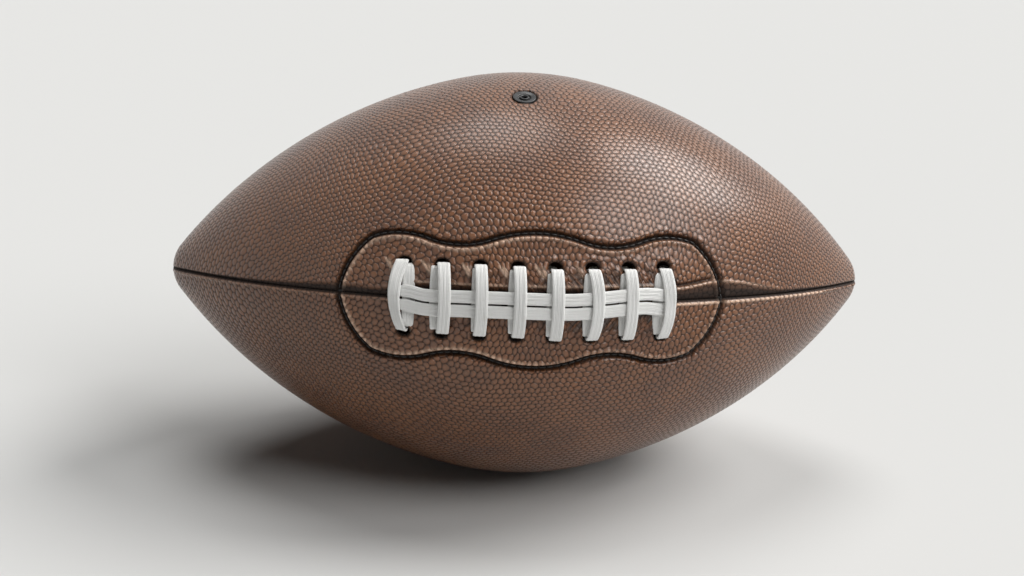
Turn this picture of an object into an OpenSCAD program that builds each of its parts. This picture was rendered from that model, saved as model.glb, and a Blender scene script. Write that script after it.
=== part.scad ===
// A laced american football, resting on its side with the laces towards the front.
// Lengths are millimetres and angles are degrees. The ball's length runs along X, +Z is up,
// the laces face -Y, and the origin is the middle of the small flat that the ball rests on.

/* [Ball outline] */
// Half of the length from tip to tip
half_length = 145.5; // [144:0.5:147]
// Radius at the middle of the ball
mid_radius = 84.5; // [84:0.5:85]
// Radius of the arc across the middle of the outline
mid_arc_r = 123; // [121:1:125]
// Half of the length that the middle arc spans
mid_arc_half = 27; // [25:1:28]
// Radius of the arc from the middle arc to the tip
flank_r = 205; // [203:1:207]
// Radius of the pin-sized eye where the four panels' points meet
tip_eye_r = 0.5; // [0.4:0.1:1]
// How far the lace seam is turned up from the level
lace_rise = 12; // [8:1:14]
// Depth of the flat that the ball's own weight presses
rest_depth = 0.5; // [0.4:0.1:0.7]

/* [Cover panels] */
// Thickness of a cover panel
cover_t = 2; // [1.8:0.1:2.2]
// Thickness of the panel's edge, skived and folded flat inside
fold_t = 1.6; // [1.2:0.1:1.6]
// Width of the folded edge on each side of a seam
fold_w = 6; // [5:0.5:7]
// Depth of the seam's valley
valley_depth = 1.2; // [0.8:0.1:1.4]
// Width of the seam's valley at the surface
valley_w = 2.4; // [2:0.1:3]
// Width of the valley's floor
valley_floor_w = 0.9; // [0.6:0.1:1.1]

/* [Lining and bladder] */
// Gap kept between two layers of the wall
layer_gap = 0.2; // [0.1:0.05:0.3]
// Thickness of the laminated lining
lining_t = 1.6; // [1.2:0.1:1.6]
// Gap between a lining's edge and the folded edge of its panel
lining_edge_gap = 0.4; // [0.2:0.1:0.6]
// Wall of the bladder
bladder_t = 1; // [0.8:0.1:1.2]
// Corner radius of the dents in the bladder
dent_corner_r = 8; // [6:1:9]

/* [Lace slot and holes] */
// Number of cross laces
rungs = 8;
// Distance from one cross lace to the next
rung_pitch = 13.9; // [13.6:0.1:14.2]
// Distance from the seam to a lace hole, along the surface
hole_arc = 13.7; // [13.4:0.1:14]
// Radius of a lace hole
hole_r = 2.6; // [2.6:0.1:2.9]
// Half of the slot's length, to the middle of its round ends
slot_half = 51.5; // [51:0.5:52]
// Width of the slot between the two panels
slot_w = 3; // [2.4:0.1:3.4]
// Radius of the punched round at each end of the slot
slot_end_r = 2.6; // [2.5:0.1:2.9]

/* [Facing, groove and tongue] */
// Height of the middle hump of the sewn outline above the seam
hump_h = 25.6; // [25:0.1:26.2]
// Place of a dip along the outline
dip_x = 29; // [28:0.5:30]
// Height of a dip
dip_h = 20.5; // [20.2:0.1:20.8]
// Radius of a dip
dip_r = 35; // [32:1:38]
// Place of a side hump
side_x = 50; // [49:0.5:51]
// Height of a side hump
side_h = 24; // [23.8:0.1:24.3]
// How far the outline reaches along the seam
end_x = 74.2; // [73.8:0.1:74.6]
// Radius of the round at each end of the outline
end_r = 34.2; // [33.8:0.1:34.6]
// How far the middle of that round lies past the seam
end_drop = 5; // [4.8:0.1:5.2]
// Width of the sewn groove
groove_w = 2.2; // [1.8:0.1:2.6]
// Depth of the sewn groove
groove_depth = 1.1; // [0.9:0.1:1.3]
// Thickness of the reinforcing facing
facing_t = 1.2; // [1:0.1:1.4]
// How far the facing reaches past the sewn line
facing_margin = 3; // [2:0.5:4]
// Thickness of the tongue that guards the bladder
tongue_t = 1; // [0.8:0.1:1.4]
// Half of the tongue's width
tongue_half_w = 17.5; // [17:0.5:19]
// How far the tongue reaches past the slot's ends
tongue_margin = 5; // [4:0.5:6]

/* [Threads] */
// Thickness of the seam thread
thread_d = 0.9; // [0.8:0.1:1]
// Gap round the seam thread
thread_gap = 0.1; // [0.05:0.05:0.15]
// How far before the tip a seam's thread ends
thread_tip_gap = 15; // [14:0.5:17]
// Width of the thread that lies in the sewn groove
stitch_w = 0.7; // [0.5:0.1:0.9]
// Thickness of the thread that lies in the sewn groove
stitch_t = 0.5; // [0.4:0.1:0.6]

/* [Lace] */
// Width of the flat lace
lace_w = 4.2; // [4:0.1:4.4]
// Thickness of the flat lace
lace_t = 1; // [0.9:0.05:1.05]
// Radius of the lace where it is bunched in a hole
bunch_r = 0.95; // [0.9:0.05:1]
// Gap between two passes of the lace that lie on each other
lace_gap = 0.45; // [0.42:0.01:0.5]
// Gap between the two passes of the lace in one hole
hole_gap = 0.7; // [0.66:0.02:0.8]
// How far each long lace lies from the seam's line
long_arc = 2.35; // [2.32:0.01:2.4]

/* [Valve] */
// Place of the valve along the ball
valve_x = -3; // [-6:1:0]
// Turn from the lace seam to the valve
valve_turn = 62.5; // [58:0.5:66]
// Radius of the valve's head
head_r = 4.65; // [4.4:0.05:4.7]
// Gap between the head and the hole in the cover
head_gap = 0.2; // [0.15:0.05:0.3]
// How far the head lies below the surface
head_sink = 0.25; // [0.15:0.05:0.4]
// Thickness of the head
head_t = 1.65; // [1.5:0.05:1.8]
// Radius of the barrel below the head
barrel_r = 3.8; // [3.6:0.1:4]
// Depth of the barrel's lower end below the surface
barrel_depth = 16; // [15:0.5:18]
// Radius of the needle's bore
needle_r = 1; // [0.9:0.05:1.1]
// Depth of the bore's lower end below the surface
needle_depth = 7; // [6.5:0.5:8]
// Radius of the sealing plug
plug_r = 2.45; // [2.2:0.05:2.6]
// Gap round the sealing plug
plug_gap = 0.05; // [0.03:0.01:0.1]
// Width of the slit in the plug
slit_w = 0.3; // [0.2:0.05:0.4]
// Thickness of the barrel's floor
barrel_floor = 1; // [0.8:0.1:1.4]
// Inner radius of the ring moulded in the head
ring_r = 1.9; // [1.7:0.05:2]
// Width and depth of the ring moulded in the head
ring_w = 0.5; // [0.4:0.05:0.6]
// Radius of the boot that joins the valve to the bladder
boot_r = 12; // [10:0.5:14]
// Thickness of the boot
boot_t = 1.6; // [1.2:0.1:2]

/* [Hidden] */
$fn = 120;

leather = [0.40, 0.22, 0.15];
cloth = [0.78, 0.74, 0.66];
rubber = [0.13, 0.13, 0.14];
white = [0.93, 0.93, 0.91];
black = [0.06, 0.05, 0.05];

// A named overrun for every cut.
over = cover_t;
quarter = 90;

// A smooth junction of two arcs is closed by this much, so that they cross.
blend = 0.02;

// The outline's arcs, as [radius, place along the ball]. The middle arc and the flank arc share
// a tangent where they meet, and the tip arc's radius follows from the length.
mid_turn = asin(mid_arc_half / mid_arc_r);
mid_normal = [cos(mid_turn), sin(mid_turn)];
mid_centre = [mid_radius - mid_arc_r, 0];
mid_end = mid_centre + mid_arc_r * mid_normal;
flank_centre = mid_end - flank_r * mid_normal;
flank_over = flank_r + blend - half_length + flank_centre.y;
tip_sum = pow(flank_centre.x, 2) / flank_over;
tip_arc_r = (flank_r + blend + half_length - flank_centre.y - tip_sum) / 2;
tip_centre = [0, half_length - tip_arc_r];
tip_way = (tip_centre - flank_centre) / norm(tip_centre - flank_centre);
flank_end = flank_centre + flank_r * tip_way;
reach = 2 * flank_r;

// Depths below the surface, from the outside in.
lining_top = cover_t + layer_gap;
lining_low = lining_top + lining_t;
bladder_top = max(lining_low, cover_t + fold_t) + layer_gap;
bladder_low = bladder_top + bladder_t;
facing_top = lining_low + layer_gap;
facing_low = facing_top + facing_t;
hop_depth = facing_low + layer_gap + bunch_r;
tongue_top = hop_depth + bunch_r + layer_gap;
tongue_low = tongue_top + tongue_t;
shallow_dent = facing_low + layer_gap - bladder_top;
deep_dent = tongue_low + layer_gap - bladder_top;
boot_top = bladder_low + layer_gap;
boot_low = boot_top + boot_t;

centre_z = mid_radius - rest_depth;
outline_end = slot_half + slot_end_r;

function radius_at(x) =
    abs(x) <= mid_end.y ? mid_centre.x + sqrt(pow(mid_arc_r, 2) - pow(x, 2)) :
    abs(x) <= flank_end.y ? flank_centre.x + sqrt(pow(flank_r, 2) - pow(abs(x) - flank_centre.y, 2)) :
    sqrt(max(0, pow(tip_arc_r, 2) - pow(abs(x) - tip_centre.y, 2)));

// A point on the ball, given its place along the ball, its distance from the lace seam along
// the surface and its height above the surface, in the frame where the laces are on top.
function turn_at(x, arc) = arc / radius_at(x) * 180 / PI;
function on_ball(x, arc, lift) =
    let (r = radius_at(x), a = turn_at(x, arc))
    [x, (r + lift) * sin(a), (r + lift) * cos(a)];
function rung_x(i) = (i - (rungs - 1) / 2) * rung_pitch;

// From the frame where the laces are on top to the ball at rest.
module at_rest() {
    translate([0, 0, centre_z])
        rotate([quarter - lace_rise, 0, 0])
            children();
}

// The outline, as a flat shape of radius against length, at a depth below the surface and with
// a round eye left open along the ball's axis.
module outline(depth, eye) {
    cap_half = mid_arc_half * (mid_arc_r - depth) / mid_arc_r;
    flank_half = flank_end.y - depth * tip_way.y;
    intersection() {
        union() {
            difference() {
                intersection_for(side = [-1, 1])
                    translate([flank_centre.x, side * flank_centre.y])
                        circle(flank_r - depth);
                difference() {
                    translate([mid_end.x / 2, -cap_half])
                        square([mid_radius, 2 * cap_half]);
                    translate(mid_centre)
                        circle(mid_arc_r - depth);
                }
                for (side = [-1, 1])
                    translate([-reach, side * (reach / 2 + flank_half) - reach / 2])
                        square([2 * reach, reach]);
            }
            for (side = [-1, 1])
                translate([tip_centre.x, side * tip_centre.y])
                    circle(tip_arc_r - depth);
        }
        translate([eye, -reach])
            square([reach, 2 * reach]);
    }
}

module band(high, low, eye = tip_eye_r) {
    difference() {
        outline(high, eye);
        outline(low, 0);
    }
}

// Turns a flat shape round the ball's length, with the angle counted from under the laces
// by way of the upper side. The lace seam is at 180.
module turned(from, sweep) {
    rotate([0, quarter, 0])
        rotate_extrude(angle = sweep, start = from)
            children();
}

module wall(high, low) {
    turned(0, 4 * quarter)
        band(high, low);
}

// Keeps what lies further than a distance from both seams of a panel. The panels are counted
// from the upper back one, by way of the upper front one.
module inside_edges(panel, edge) {
    rotate([panel * quarter, 0, 0])
        translate([-half_length, edge, -edge - 2 * mid_radius])
            cube([2 * half_length, 2 * mid_radius, 2 * mid_radius]);
}

// The valley of a seam, cut in two steps that narrow towards the tips as the panels do.
module seam_valley(from) {
    for (cut = [[valley_w, valley_depth / 2], [valley_floor_w, valley_depth]]) {
        half_angle = cut[0] / (2 * mid_radius) * 180 / PI;
        turned(from - half_angle, 2 * half_angle)
            band(-over, cut[1]);
    }
}

thread_depth = cover_t + fold_t / 2;

// A seam's thread, whole or, on the laced seam, in two stretches past the slot's ends. The same
// shape with a gap round it is the channel that the thread lies in.
module seam_thread(turn, laced, gap) {
    half_t = thread_d / 2 + gap;
    from = laced ? outline_end + over - gap : 0;
    to = half_length - thread_tip_gap + gap;
    rotate([-turn, 0, 0])
        rotate([-quarter, -quarter, 0])
            linear_extrude(2 * half_t, center = true)
                intersection() {
                    band(thread_depth - half_t, thread_depth + half_t);
                    for (side = laced ? [-1, 1] : [0])
                        if (laced)
                            translate([0, side * (from + to) / 2])
                                square([reach, to - from], center = true);
                        else
                            square([reach, 2 * to], center = true);
                }
}

// A hole square to the surface, cut from above the surface to a depth below it.
module surface_hole(x, turn, r, depth) {
    translate([x, 0, 0])
        rotate([-turn, 0, 0])
            translate([0, 0, radius_at(x) - depth])
                cylinder(r = r, h = depth + over);
}

module lace_holes(side, depth) {
    for (i = [0 : rungs - 1])
        surface_hole(rung_x(i), side * turn_at(rung_x(i), hole_arc), hole_r, depth);
}

module lace_slot() {
    translate([-slot_half, -slot_w / 2, 0])
        cube([2 * slot_half, slot_w, mid_radius + over]);
    for (side = [-1, 1])
        translate([side * slot_half, 0, 0])
            cylinder(r = slot_end_r, h = mid_radius + over);
}

// The sewn outline round the laces, seen square to them: three humps and two dips a side.
hump_sum = (pow(dip_x, 2) + pow(hump_h - dip_h, 2)) / (2 * (hump_h - dip_h));
hump_r = hump_sum - dip_r;
side_sum = (pow(side_x - dip_x, 2) + pow(side_h - dip_h, 2)) / (2 * (side_h - dip_h));
side_r = side_sum - dip_r;
hump_centre = [0, hump_h - hump_r];
dip_centre = [dip_x, dip_h + dip_r];
side_centre = [side_x, side_h - side_r];
hump_to_dip = (dip_centre - hump_centre) / norm(dip_centre - hump_centre);

// The whole outline on one side of the seam, grown by a distance.
module sewn_half(grow) {
    join_h = hump_centre.y + (hump_r + grow) * hump_to_dip.y;
    difference() {
        intersection() {
            union() {
                translate(hump_centre)
                    circle(hump_r + grow);
                translate([-side_x, -2 * over])
                    square([2 * side_x, join_h + 2 * over]);
                for (side = [-1, 1])
                    intersection() {
                        translate([side * side_centre.x, side_centre.y])
                            circle(side_r + grow);
                        translate([side * (end_x - end_r), -end_drop])
                            circle(end_r + grow);
                    }
            }
            translate([-half_length, -over])
                square([2 * half_length, mid_radius]);
        }
        for (side = [-1, 1])
            translate([side * dip_centre.x, dip_centre.y])
                circle(dip_r - grow + blend);
    }
}

// Raises a flat shape on one side of the lace seam: 1 is the upper side, -1 the lower.
module raised(side) {
    mirror([0, side < 0 ? 1 : 0, 0])
        linear_extrude(mid_radius + over)
            children();
}

module sewn_line(side, w, high, low) {
    intersection() {
        raised(side)
            difference() {
                sewn_half(w / 2);
                sewn_half(-w / 2);
            }
        turned(side > 0 ? quarter : 2 * quarter, quarter)
            band(high, low);
    }
}

// Cover panels, counted as in inside_edges.
module cover_blank(panel) {
    difference() {
        union() {
            turned(panel * quarter, quarter)
                band(0, cover_t);
            difference() {
                turned(panel * quarter, quarter)
                    band(cover_t / 2, cover_t + fold_t);
                inside_edges(panel, fold_w);
            }
        }
        seam_valley(panel * quarter);
        seam_valley((panel + 1) * quarter);
    }
}

module front_cover(side) {
    difference() {
        cover_blank(side > 0 ? 1 : 2);
        sewn_line(side, groove_w, -over, groove_depth);
        lace_holes(side, lining_low);
        lace_slot();
        seam_thread(0, true, thread_gap);
        seam_thread(side * quarter, false, thread_gap);
    }
}

module back_cover(side) {
    difference() {
        cover_blank(side > 0 ? 0 : 3);
        seam_thread(2 * quarter, false, thread_gap);
        seam_thread(side * quarter, false, thread_gap);
    }
}

module cover_upper_front() {
    color(leather)
        at_rest()
            difference() {
                front_cover(1);
                surface_hole(valve_x, valve_turn, head_r + head_gap, lining_low);
            }
}

module cover_lower_front() {
    color(leather)
        at_rest()
            front_cover(-1);
}

module cover_upper_back() {
    color(leather)
        at_rest()
            back_cover(1);
}

// This panel carries the flat that the ball rests on.
module cover_lower_back() {
    color(leather)
        difference() {
            at_rest()
                back_cover(-1);
            translate([-half_length, -half_length, -over])
                cube([2 * half_length, 2 * half_length, over]);
        }
}

module lining_blank(panel) {
    intersection() {
        turned(panel * quarter, quarter)
            band(lining_top, lining_low);
        inside_edges(panel, fold_w + lining_edge_gap);
    }
}

module lining_upper_front() {
    color(cloth)
        at_rest()
            difference() {
                lining_blank(1);
                lace_holes(1, facing_low);
                surface_hole(valve_x, valve_turn, barrel_r + head_gap, bladder_low);
            }
}

module lining_lower_front() {
    color(cloth)
        at_rest()
            difference() {
                lining_blank(2);
                lace_holes(-1, facing_low);
            }
}

module lining_upper_back() {
    color(cloth)
        at_rest()
            lining_blank(0);
}

module lining_lower_back() {
    color(cloth)
        at_rest()
            lining_blank(3);
}

module rounded_plate(half_x, half_y, r) {
    linear_extrude(mid_radius + over) {
        square([2 * half_x, 2 * (half_y - r)], center = true);
        square([2 * (half_x - r), 2 * half_y], center = true);
        for (x = [-1, 1])
            for (y = [-1, 1])
                translate([x * (half_x - r), y * (half_y - r)])
                    circle(r);
    }
}

// The bladder's form at a depth inside its skin, dented under the facing and the tongue.
module bladder_form(depth) {
    facing_half_x = end_x + facing_margin + over + depth;
    facing_half_y = hump_h + facing_margin + over + depth;
    tongue_half_x = slot_half + tongue_margin + over + depth;
    difference() {
        turned(0, 4 * quarter)
            outline(bladder_top + depth, 0);
        difference() {
            rounded_plate(facing_half_x, facing_half_y, dent_corner_r);
            turned(0, 4 * quarter)
                outline(bladder_top + depth + shallow_dent, 0);
        }
        difference() {
            rounded_plate(tongue_half_x, tongue_half_w + over + depth, dent_corner_r);
            turned(0, 4 * quarter)
                outline(bladder_top + depth + deep_dent, 0);
        }
    }
}

module bladder() {
    color(rubber)
        at_rest()
            difference() {
                bladder_form(0);
                bladder_form(bladder_t);
                surface_hole(valve_x, valve_turn, barrel_r + head_gap, boot_low);
            }
}

module valve_frame() {
    at_rest()
        translate([valve_x, 0, 0])
            rotate([-valve_turn, 0, 0])
                translate([0, 0, radius_at(valve_x)])
                    children();
}

module valve_boot() {
    color(rubber)
        at_rest()
            intersection() {
                wall(boot_top, boot_low);
                translate([valve_x, 0, 0])
                    rotate([-valve_turn, 0, 0])
                        difference() {
                            cylinder(r = boot_r, h = mid_radius);
                            cylinder(r = barrel_r + head_gap, h = mid_radius + over);
                        }
            }
}

plug_low = barrel_depth - barrel_floor;

module valve_body() {
    color(rubber)
        valve_frame()
            difference() {
                union() {
                    translate([0, 0, -head_sink - head_t])
                        cylinder(r = head_r, h = head_t);
                    translate([0, 0, -barrel_depth])
                        cylinder(r = barrel_r, h = barrel_depth - head_sink - head_t / 2);
                }
                translate([0, 0, -barrel_depth - over])
                    cylinder(r = needle_r, h = barrel_depth + 2 * over);
                translate([0, 0, -plug_low])
                    cylinder(r = plug_r + plug_gap, h = plug_low - needle_depth);
                translate([0, 0, -head_sink - ring_w])
                    difference() {
                        cylinder(r = ring_r + ring_w, h = over);
                        cylinder(r = ring_r, h = over);
                    }
            }
}

module valve_plug() {
    color(cloth)
        valve_frame()
            difference() {
                translate([0, 0, plug_gap - plug_low])
                    cylinder(r = plug_r, h = plug_low - needle_depth - 2 * plug_gap);
                translate([-slit_w / 2, -needle_r, -barrel_depth])
                    cube([slit_w, 2 * needle_r, barrel_depth]);
            }
}

module lace_facing(side) {
    color(cloth)
        at_rest()
            difference() {
                intersection() {
                    raised(side)
                        sewn_half(facing_margin);
                    turned(side > 0 ? quarter : 2 * quarter, quarter)
                        band(facing_top, facing_low);
                }
                lace_holes(side, tongue_top);
                lace_slot();
            }
}

module lace_tongue() {
    color(cloth)
        at_rest()
            intersection() {
                rounded_plate(slot_half + tongue_margin, tongue_half_w, dent_corner_r);
                wall(tongue_top, tongue_low);
            }
}

module facing_thread(side) {
    color(black)
        at_rest()
            sewn_line(side, stitch_w, groove_depth - stitch_t, groove_depth);
}

// The lace: one flat cord. It first crosses the seam once at each pair of holes, then runs
// along the seam and back, and then crosses over itself at each pair of holes again. It is
// bunched where it dives through a hole. The stations below are its route, by hand: each is
// [along the ball, from the seam, above the surface, share of flatness, width direction].
pass_gap = lace_t + lace_gap;
under_arc = hole_arc - bunch_r - hole_gap / 2;
over_arc = hole_arc + bunch_r + hole_gap / 2;
under_lift = layer_gap / 2 + lace_t / 2;
long_lift = under_lift + pass_gap;
over_lift = long_lift + pass_gap;
edge_lift = under_lift + pass_gap;
dive = lining_low;
bend = bunch_r;

// Sideways bow of each crossing at the seam, and its extra height over the long laces.
under_bow_shares = [0.38, -0.17, -0.17, -0.17, -0.17, -0.19, -0.17, -0.48];
over_bow_shares = [-0.69, 0.24, 0.19, 0.24, 0.24, 0.33, 0.29, 0.69];
over_rise_shares = [1, 0, 0, 0, 0, 0, 0, 1];
flat_rise_shares = [0, 0, 0, 0, 0, 0, 0, 0];

// Half of a crossing, from its hole to the seam: [from the seam, above the surface, flatness].
under_half = [
    [under_arc, -dive, 0], [under_arc, -1.5 * bend, 0], [under_arc, -0.4 * bend, 0.25],
    [under_arc - 0.6 * bend, 0.75 * bend, 0.6], [under_arc - 1.9 * bend, 1.1 * under_lift, 1],
    [under_arc / 2, under_lift, 1]
];
over_half = [
    [over_arc, -dive, 0], [over_arc, -1.5 * bend, 0], [over_arc, 0.3 * bend, 0.25],
    [over_arc - 0.75 * bend, 1.65 * bend, 0.7], [over_arc - 2.4 * bend, edge_lift + 0.1 * bend, 1],
    [over_arc - 5.4 * bend, edge_lift + 0.3 * bend, 1], [long_arc + 0.65 * lace_w, over_lift, 1]
];

// One crossing with its two dives. The travel sign is 1 from the lower holes to the upper.
function crossing(i, half, top, bow_shares, rise_shares) =
    let (
        travel = i % 2 == 0 ? 1 : -1,
        last = len(half) - 1,
        lengthwise = [for (k = [0 : 2 * last + 2]) k <= last ? k : 2 * last + 2 - k],
        x = rung_x(i)
    )
    [
        for (k = [0 : 2 * last + 2])
            let (
                middle = k == last + 1,
                p = middle ? [0, top, 1] : half[lengthwise[k]],
                rise = (middle || lengthwise[k] == last) ? rise_shares[i] * lace_gap : 0,
                side = k <= last ? -travel : travel,
                bow = bow_shares[i] * lace_w * pow(cos(quarter * p[0] / half[0][0]), 2)
            )
            [x + bow, side * p[0], p[1] + rise, p[2], [travel, 0, 0]]
    ];

// Bends at the foot of a dive. The way is 1 towards +X.
function foot(i, side_arc, way, travel, leaving) =
    let (x = rung_x(i), sign = leaving ? 1 : -1)
    [
        for (k = leaving ? [0, 1] : [1, 0])
            [
                x + sign * way * (0.35 + 1.45 * k) * bend,
                side_arc,
                -hop_depth + (1 - k) * 0.8 * bend,
                0,
                [sign * (1 - k) * travel, 0, way * travel * (leaving ? 1 : -1)]
            ]
    ];

function under_pass(i) =
    let (travel = i % 2 == 0 ? 1 : -1)
    concat(
        i > 0 ? foot(i, -travel * under_arc, 1, travel, false) : [],
        crossing(i, under_half, under_lift, under_bow_shares, flat_rise_shares),
        foot(i, travel * under_arc, 1, travel, true)
    );

function over_pass(i) =
    let (travel = i % 2 == 0 ? 1 : -1)
    concat(
        foot(i, -travel * over_arc, -1, travel, false),
        crossing(i, over_half, over_lift, over_bow_shares, over_rise_shares),
        foot(i, travel * over_arc, -1, travel, true)
    );

// A long lace from the punched round at one end of the slot to the other.
long_in = bunch_r + hole_gap / 2;
function long_end(side, arc_side, width) = [
    [side * slot_half, arc_side * long_in, -dive, 0, width],
    [side * slot_half, arc_side * 1.02 * long_in, -bend, 0, width],
    [
        side * (slot_half - 0.35 * bend),
        arc_side * (0.62 * long_in + 0.38 * long_arc),
        0.7 * bend, 0.35, width
    ],
    [
        side * (slot_half - 1.3 * bend),
        arc_side * (0.25 * long_in + 0.75 * long_arc),
        long_lift, 0.7, width
    ],
    [side * (slot_half - 3.4 * bend), arc_side * long_arc, long_lift, 1, width]
];
long_places = [for (i = [1 : rungs - 1]) (rung_x(i - 1) + rung_x(i)) / 2];
function backwards(list) = [for (k = [len(list) - 1 : -1 : 0]) list[k]];
function long_pass(way, arc_side, width) =
    concat(
        long_end(-way, arc_side, width),
        [
            for (x = way > 0 ? long_places : backwards(long_places))
                [x, arc_side * long_arc, long_lift, 1, width]
        ],
        backwards(long_end(way, arc_side, width))
    );

last_x = rung_x(rungs - 1);
start_tail = [
    [-last_x + 10 * bend, -under_arc + 3.6 * bend, -hop_depth, 0, [0, 0, 1]],
    [-last_x + 5 * bend, -under_arc + 1.6 * bend, -hop_depth, 0, [0, 0, 1]],
    [-last_x + 1.8 * bend, -under_arc + 0.2 * bend, -hop_depth, 0, [0, 0, 1]],
    [-last_x + 0.3 * bend, -under_arc, -hop_depth + 0.8 * bend, 0, [1, 0, 1]]
];
// From the last lower hole, inside, to the slot's end.
to_long = [
    [slot_half + 0.4 * bend, -under_arc + 2.3 * bend, -hop_depth, 0, [0, 0, -1]],
    [slot_half + 0.2 * bend, -long_in - 2 * bend, -hop_depth, 0, [0, 0, -1]],
    [slot_half, -long_in - 0.4 * bend, -hop_depth + 0.8 * bend, 0, [0, 1, -1]]
];
// The turn inside the other end of the slot.
u_turn = [
    [-slot_half, -0.75 * long_in, -hop_depth + 0.5 * bend, 0, [0, 1, 1]],
    [-slot_half, 0, -hop_depth, 0, [0, 0, 1]],
    [-slot_half, 0.75 * long_in, -hop_depth + 0.5 * bend, 0, [0, -1, 1]]
];
// From the slot's end, inside, to the last upper hole.
to_over = [
    [slot_half, long_in + 0.4 * bend, -hop_depth + 0.8 * bend, 0, [0, -1, -1]],
    [slot_half + 0.4 * bend, long_in + 2 * bend, -hop_depth, 0, [0, 0, -1]],
    [slot_half + 1.3 * bend, over_arc - 3.6 * bend, -hop_depth, 0, [0, 0, -1]],
    [slot_half + 0.6 * bend, over_arc - 0.6 * bend, -hop_depth, 0, [0, 0, -1]]
];
end_tail = [
    [-slot_half - 1.6 * bend, over_arc - 1.7 * bend, -hop_depth, 0, [0, 0, -1]],
    [-slot_half - 2.3 * bend, over_arc - 5.2 * bend, -hop_depth, 0, [0, 0, -1]]
];

route = concat(
    start_tail,
    [for (i = [0 : rungs - 1]) each under_pass(i)],
    to_long,
    long_pass(-1, -1, [0, 1, 0]),
    u_turn,
    long_pass(1, 1, [0, -1, 0]),
    to_over,
    [for (i = [rungs - 1 : -1 : 0]) each over_pass(i)],
    end_tail
);

// The route's places in space, and a width direction at each.
lace_points = [for (s = route) on_ball(s[0], s[1], s[2])];
function unit(v) = v / norm(v);
function width_dir(s) =
    let (a = turn_at(s[0], s[1]), d = s[4])
    [d[0], d[1] * cos(a) + d[2] * sin(a), -d[1] * sin(a) + d[2] * cos(a)];

ring_sides = 8;
flat_half_w = lace_w / 2;
flat_half_t = lace_t / 2;
// Corners of the section as shares of its half width and half thickness.
corner_share = 0.414;
flat_corner_share = 0.86;

function section(flat) =
    let (
        w = bunch_r + (flat_half_w - bunch_r) * flat,
        t = bunch_r + (flat_half_t - bunch_r) * flat,
        c = corner_share + (flat_corner_share - corner_share) * flat,
        s = corner_share
    )
    [
        [w, s * t], [c * w, t], [-c * w, t], [-w, s * t],
        [-w, -s * t], [-c * w, -t], [c * w, -t], [w, -s * t]
    ];

function lace_ring(k) =
    let (
        n = len(route),
        ahead = unit(lace_points[min(k + 1, n - 1)] - lace_points[max(k - 1, 0)]),
        wide = width_dir(route[k]),
        across = unit(wide - (wide * ahead) * ahead),
        out = cross(ahead, across)
    )
    [for (q = section(route[k][3])) lace_points[k] + q[0] * across + q[1] * out];

lace_rings = [for (k = [0 : len(route) - 1]) lace_ring(k)];

// The least gap between stretches of the lace that aren't neighbours along it.
function apart(a, b) = min([for (p = a) min([for (q = b) norm(p - q)])]);
near = 2 * lace_w;
skip = 7;
self_gaps = [
    for (i = [0 : len(route) - 1 - skip])
        for (j = [i + skip : len(route) - 1])
            if (norm(lace_points[i] - lace_points[j]) < near)
                apart(lace_rings[i], lace_rings[j])
];

module lace() {
    n = len(route);
    steps = [for (k = [1 : n - 1]) norm(lace_points[k] - lace_points[k - 1])];
    echo(lace_length = steps * [for (s = steps) 1], rings = n, least_self_gap = min(self_gaps));
    color(white)
        at_rest()
            polyhedron(
                points = [for (r = lace_rings) each r],
                faces = concat(
                    [for (j = [1 : ring_sides - 2]) [0, j + 1, j]],
                    [
                        for (k = [0 : n - 2])
                            for (j = [0 : ring_sides - 1])
                                let (
                                    a = k * ring_sides + j,
                                    b = k * ring_sides + (j + 1) % ring_sides
                                )
                                each [
                                    [a, b, b + ring_sides],
                                    [a, b + ring_sides, a + ring_sides]
                                ]
                    ],
                    [for (j = [1 : ring_sides - 2]) (n - 1) * ring_sides * [1, 1, 1] + [0, j, j + 1]]
                ),
                convexity = 10
            );
}

cover_upper_front();
cover_lower_front();
cover_upper_back();
cover_lower_back();
lining_upper_front();
lining_lower_front();
lining_upper_back();
lining_lower_back();
bladder();
valve_boot();
valve_body();
valve_plug();
lace();
lace_facing(1);  // lace_facing_upper
lace_facing(-1);  // lace_facing_lower
lace_tongue();
seam_thread_front();
seam_thread_top();
seam_thread_back();
seam_thread_bottom();
facing_thread(1);  // facing_thread_upper
facing_thread(-1);  // facing_thread_lower

module seam_thread_front() {
    color(black)
        at_rest()
            seam_thread(0, true, 0);
}

module seam_thread_top() {
    color(black)
        at_rest()
            seam_thread(quarter, false, 0);
}

module seam_thread_back() {
    color(black)
        at_rest()
            seam_thread(2 * quarter, false, 0);
}

module seam_thread_bottom() {
    color(black)
        at_rest()
            seam_thread(-quarter, false, 0);
}
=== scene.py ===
# %% [markdown]
# # Dressing a laced american football
# The solids of this ball were built as an assembly: four leather panels, linings, a bladder, a
# valve, one long lace and its reinforcements. This lesson puts the real surfaces over them.
# The frame holds those solids, and nothing in it is moved.

# %% The frame
import math

import bmesh
import bpy
import numpy as np
from mathutils import Matrix, Vector, noise


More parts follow.
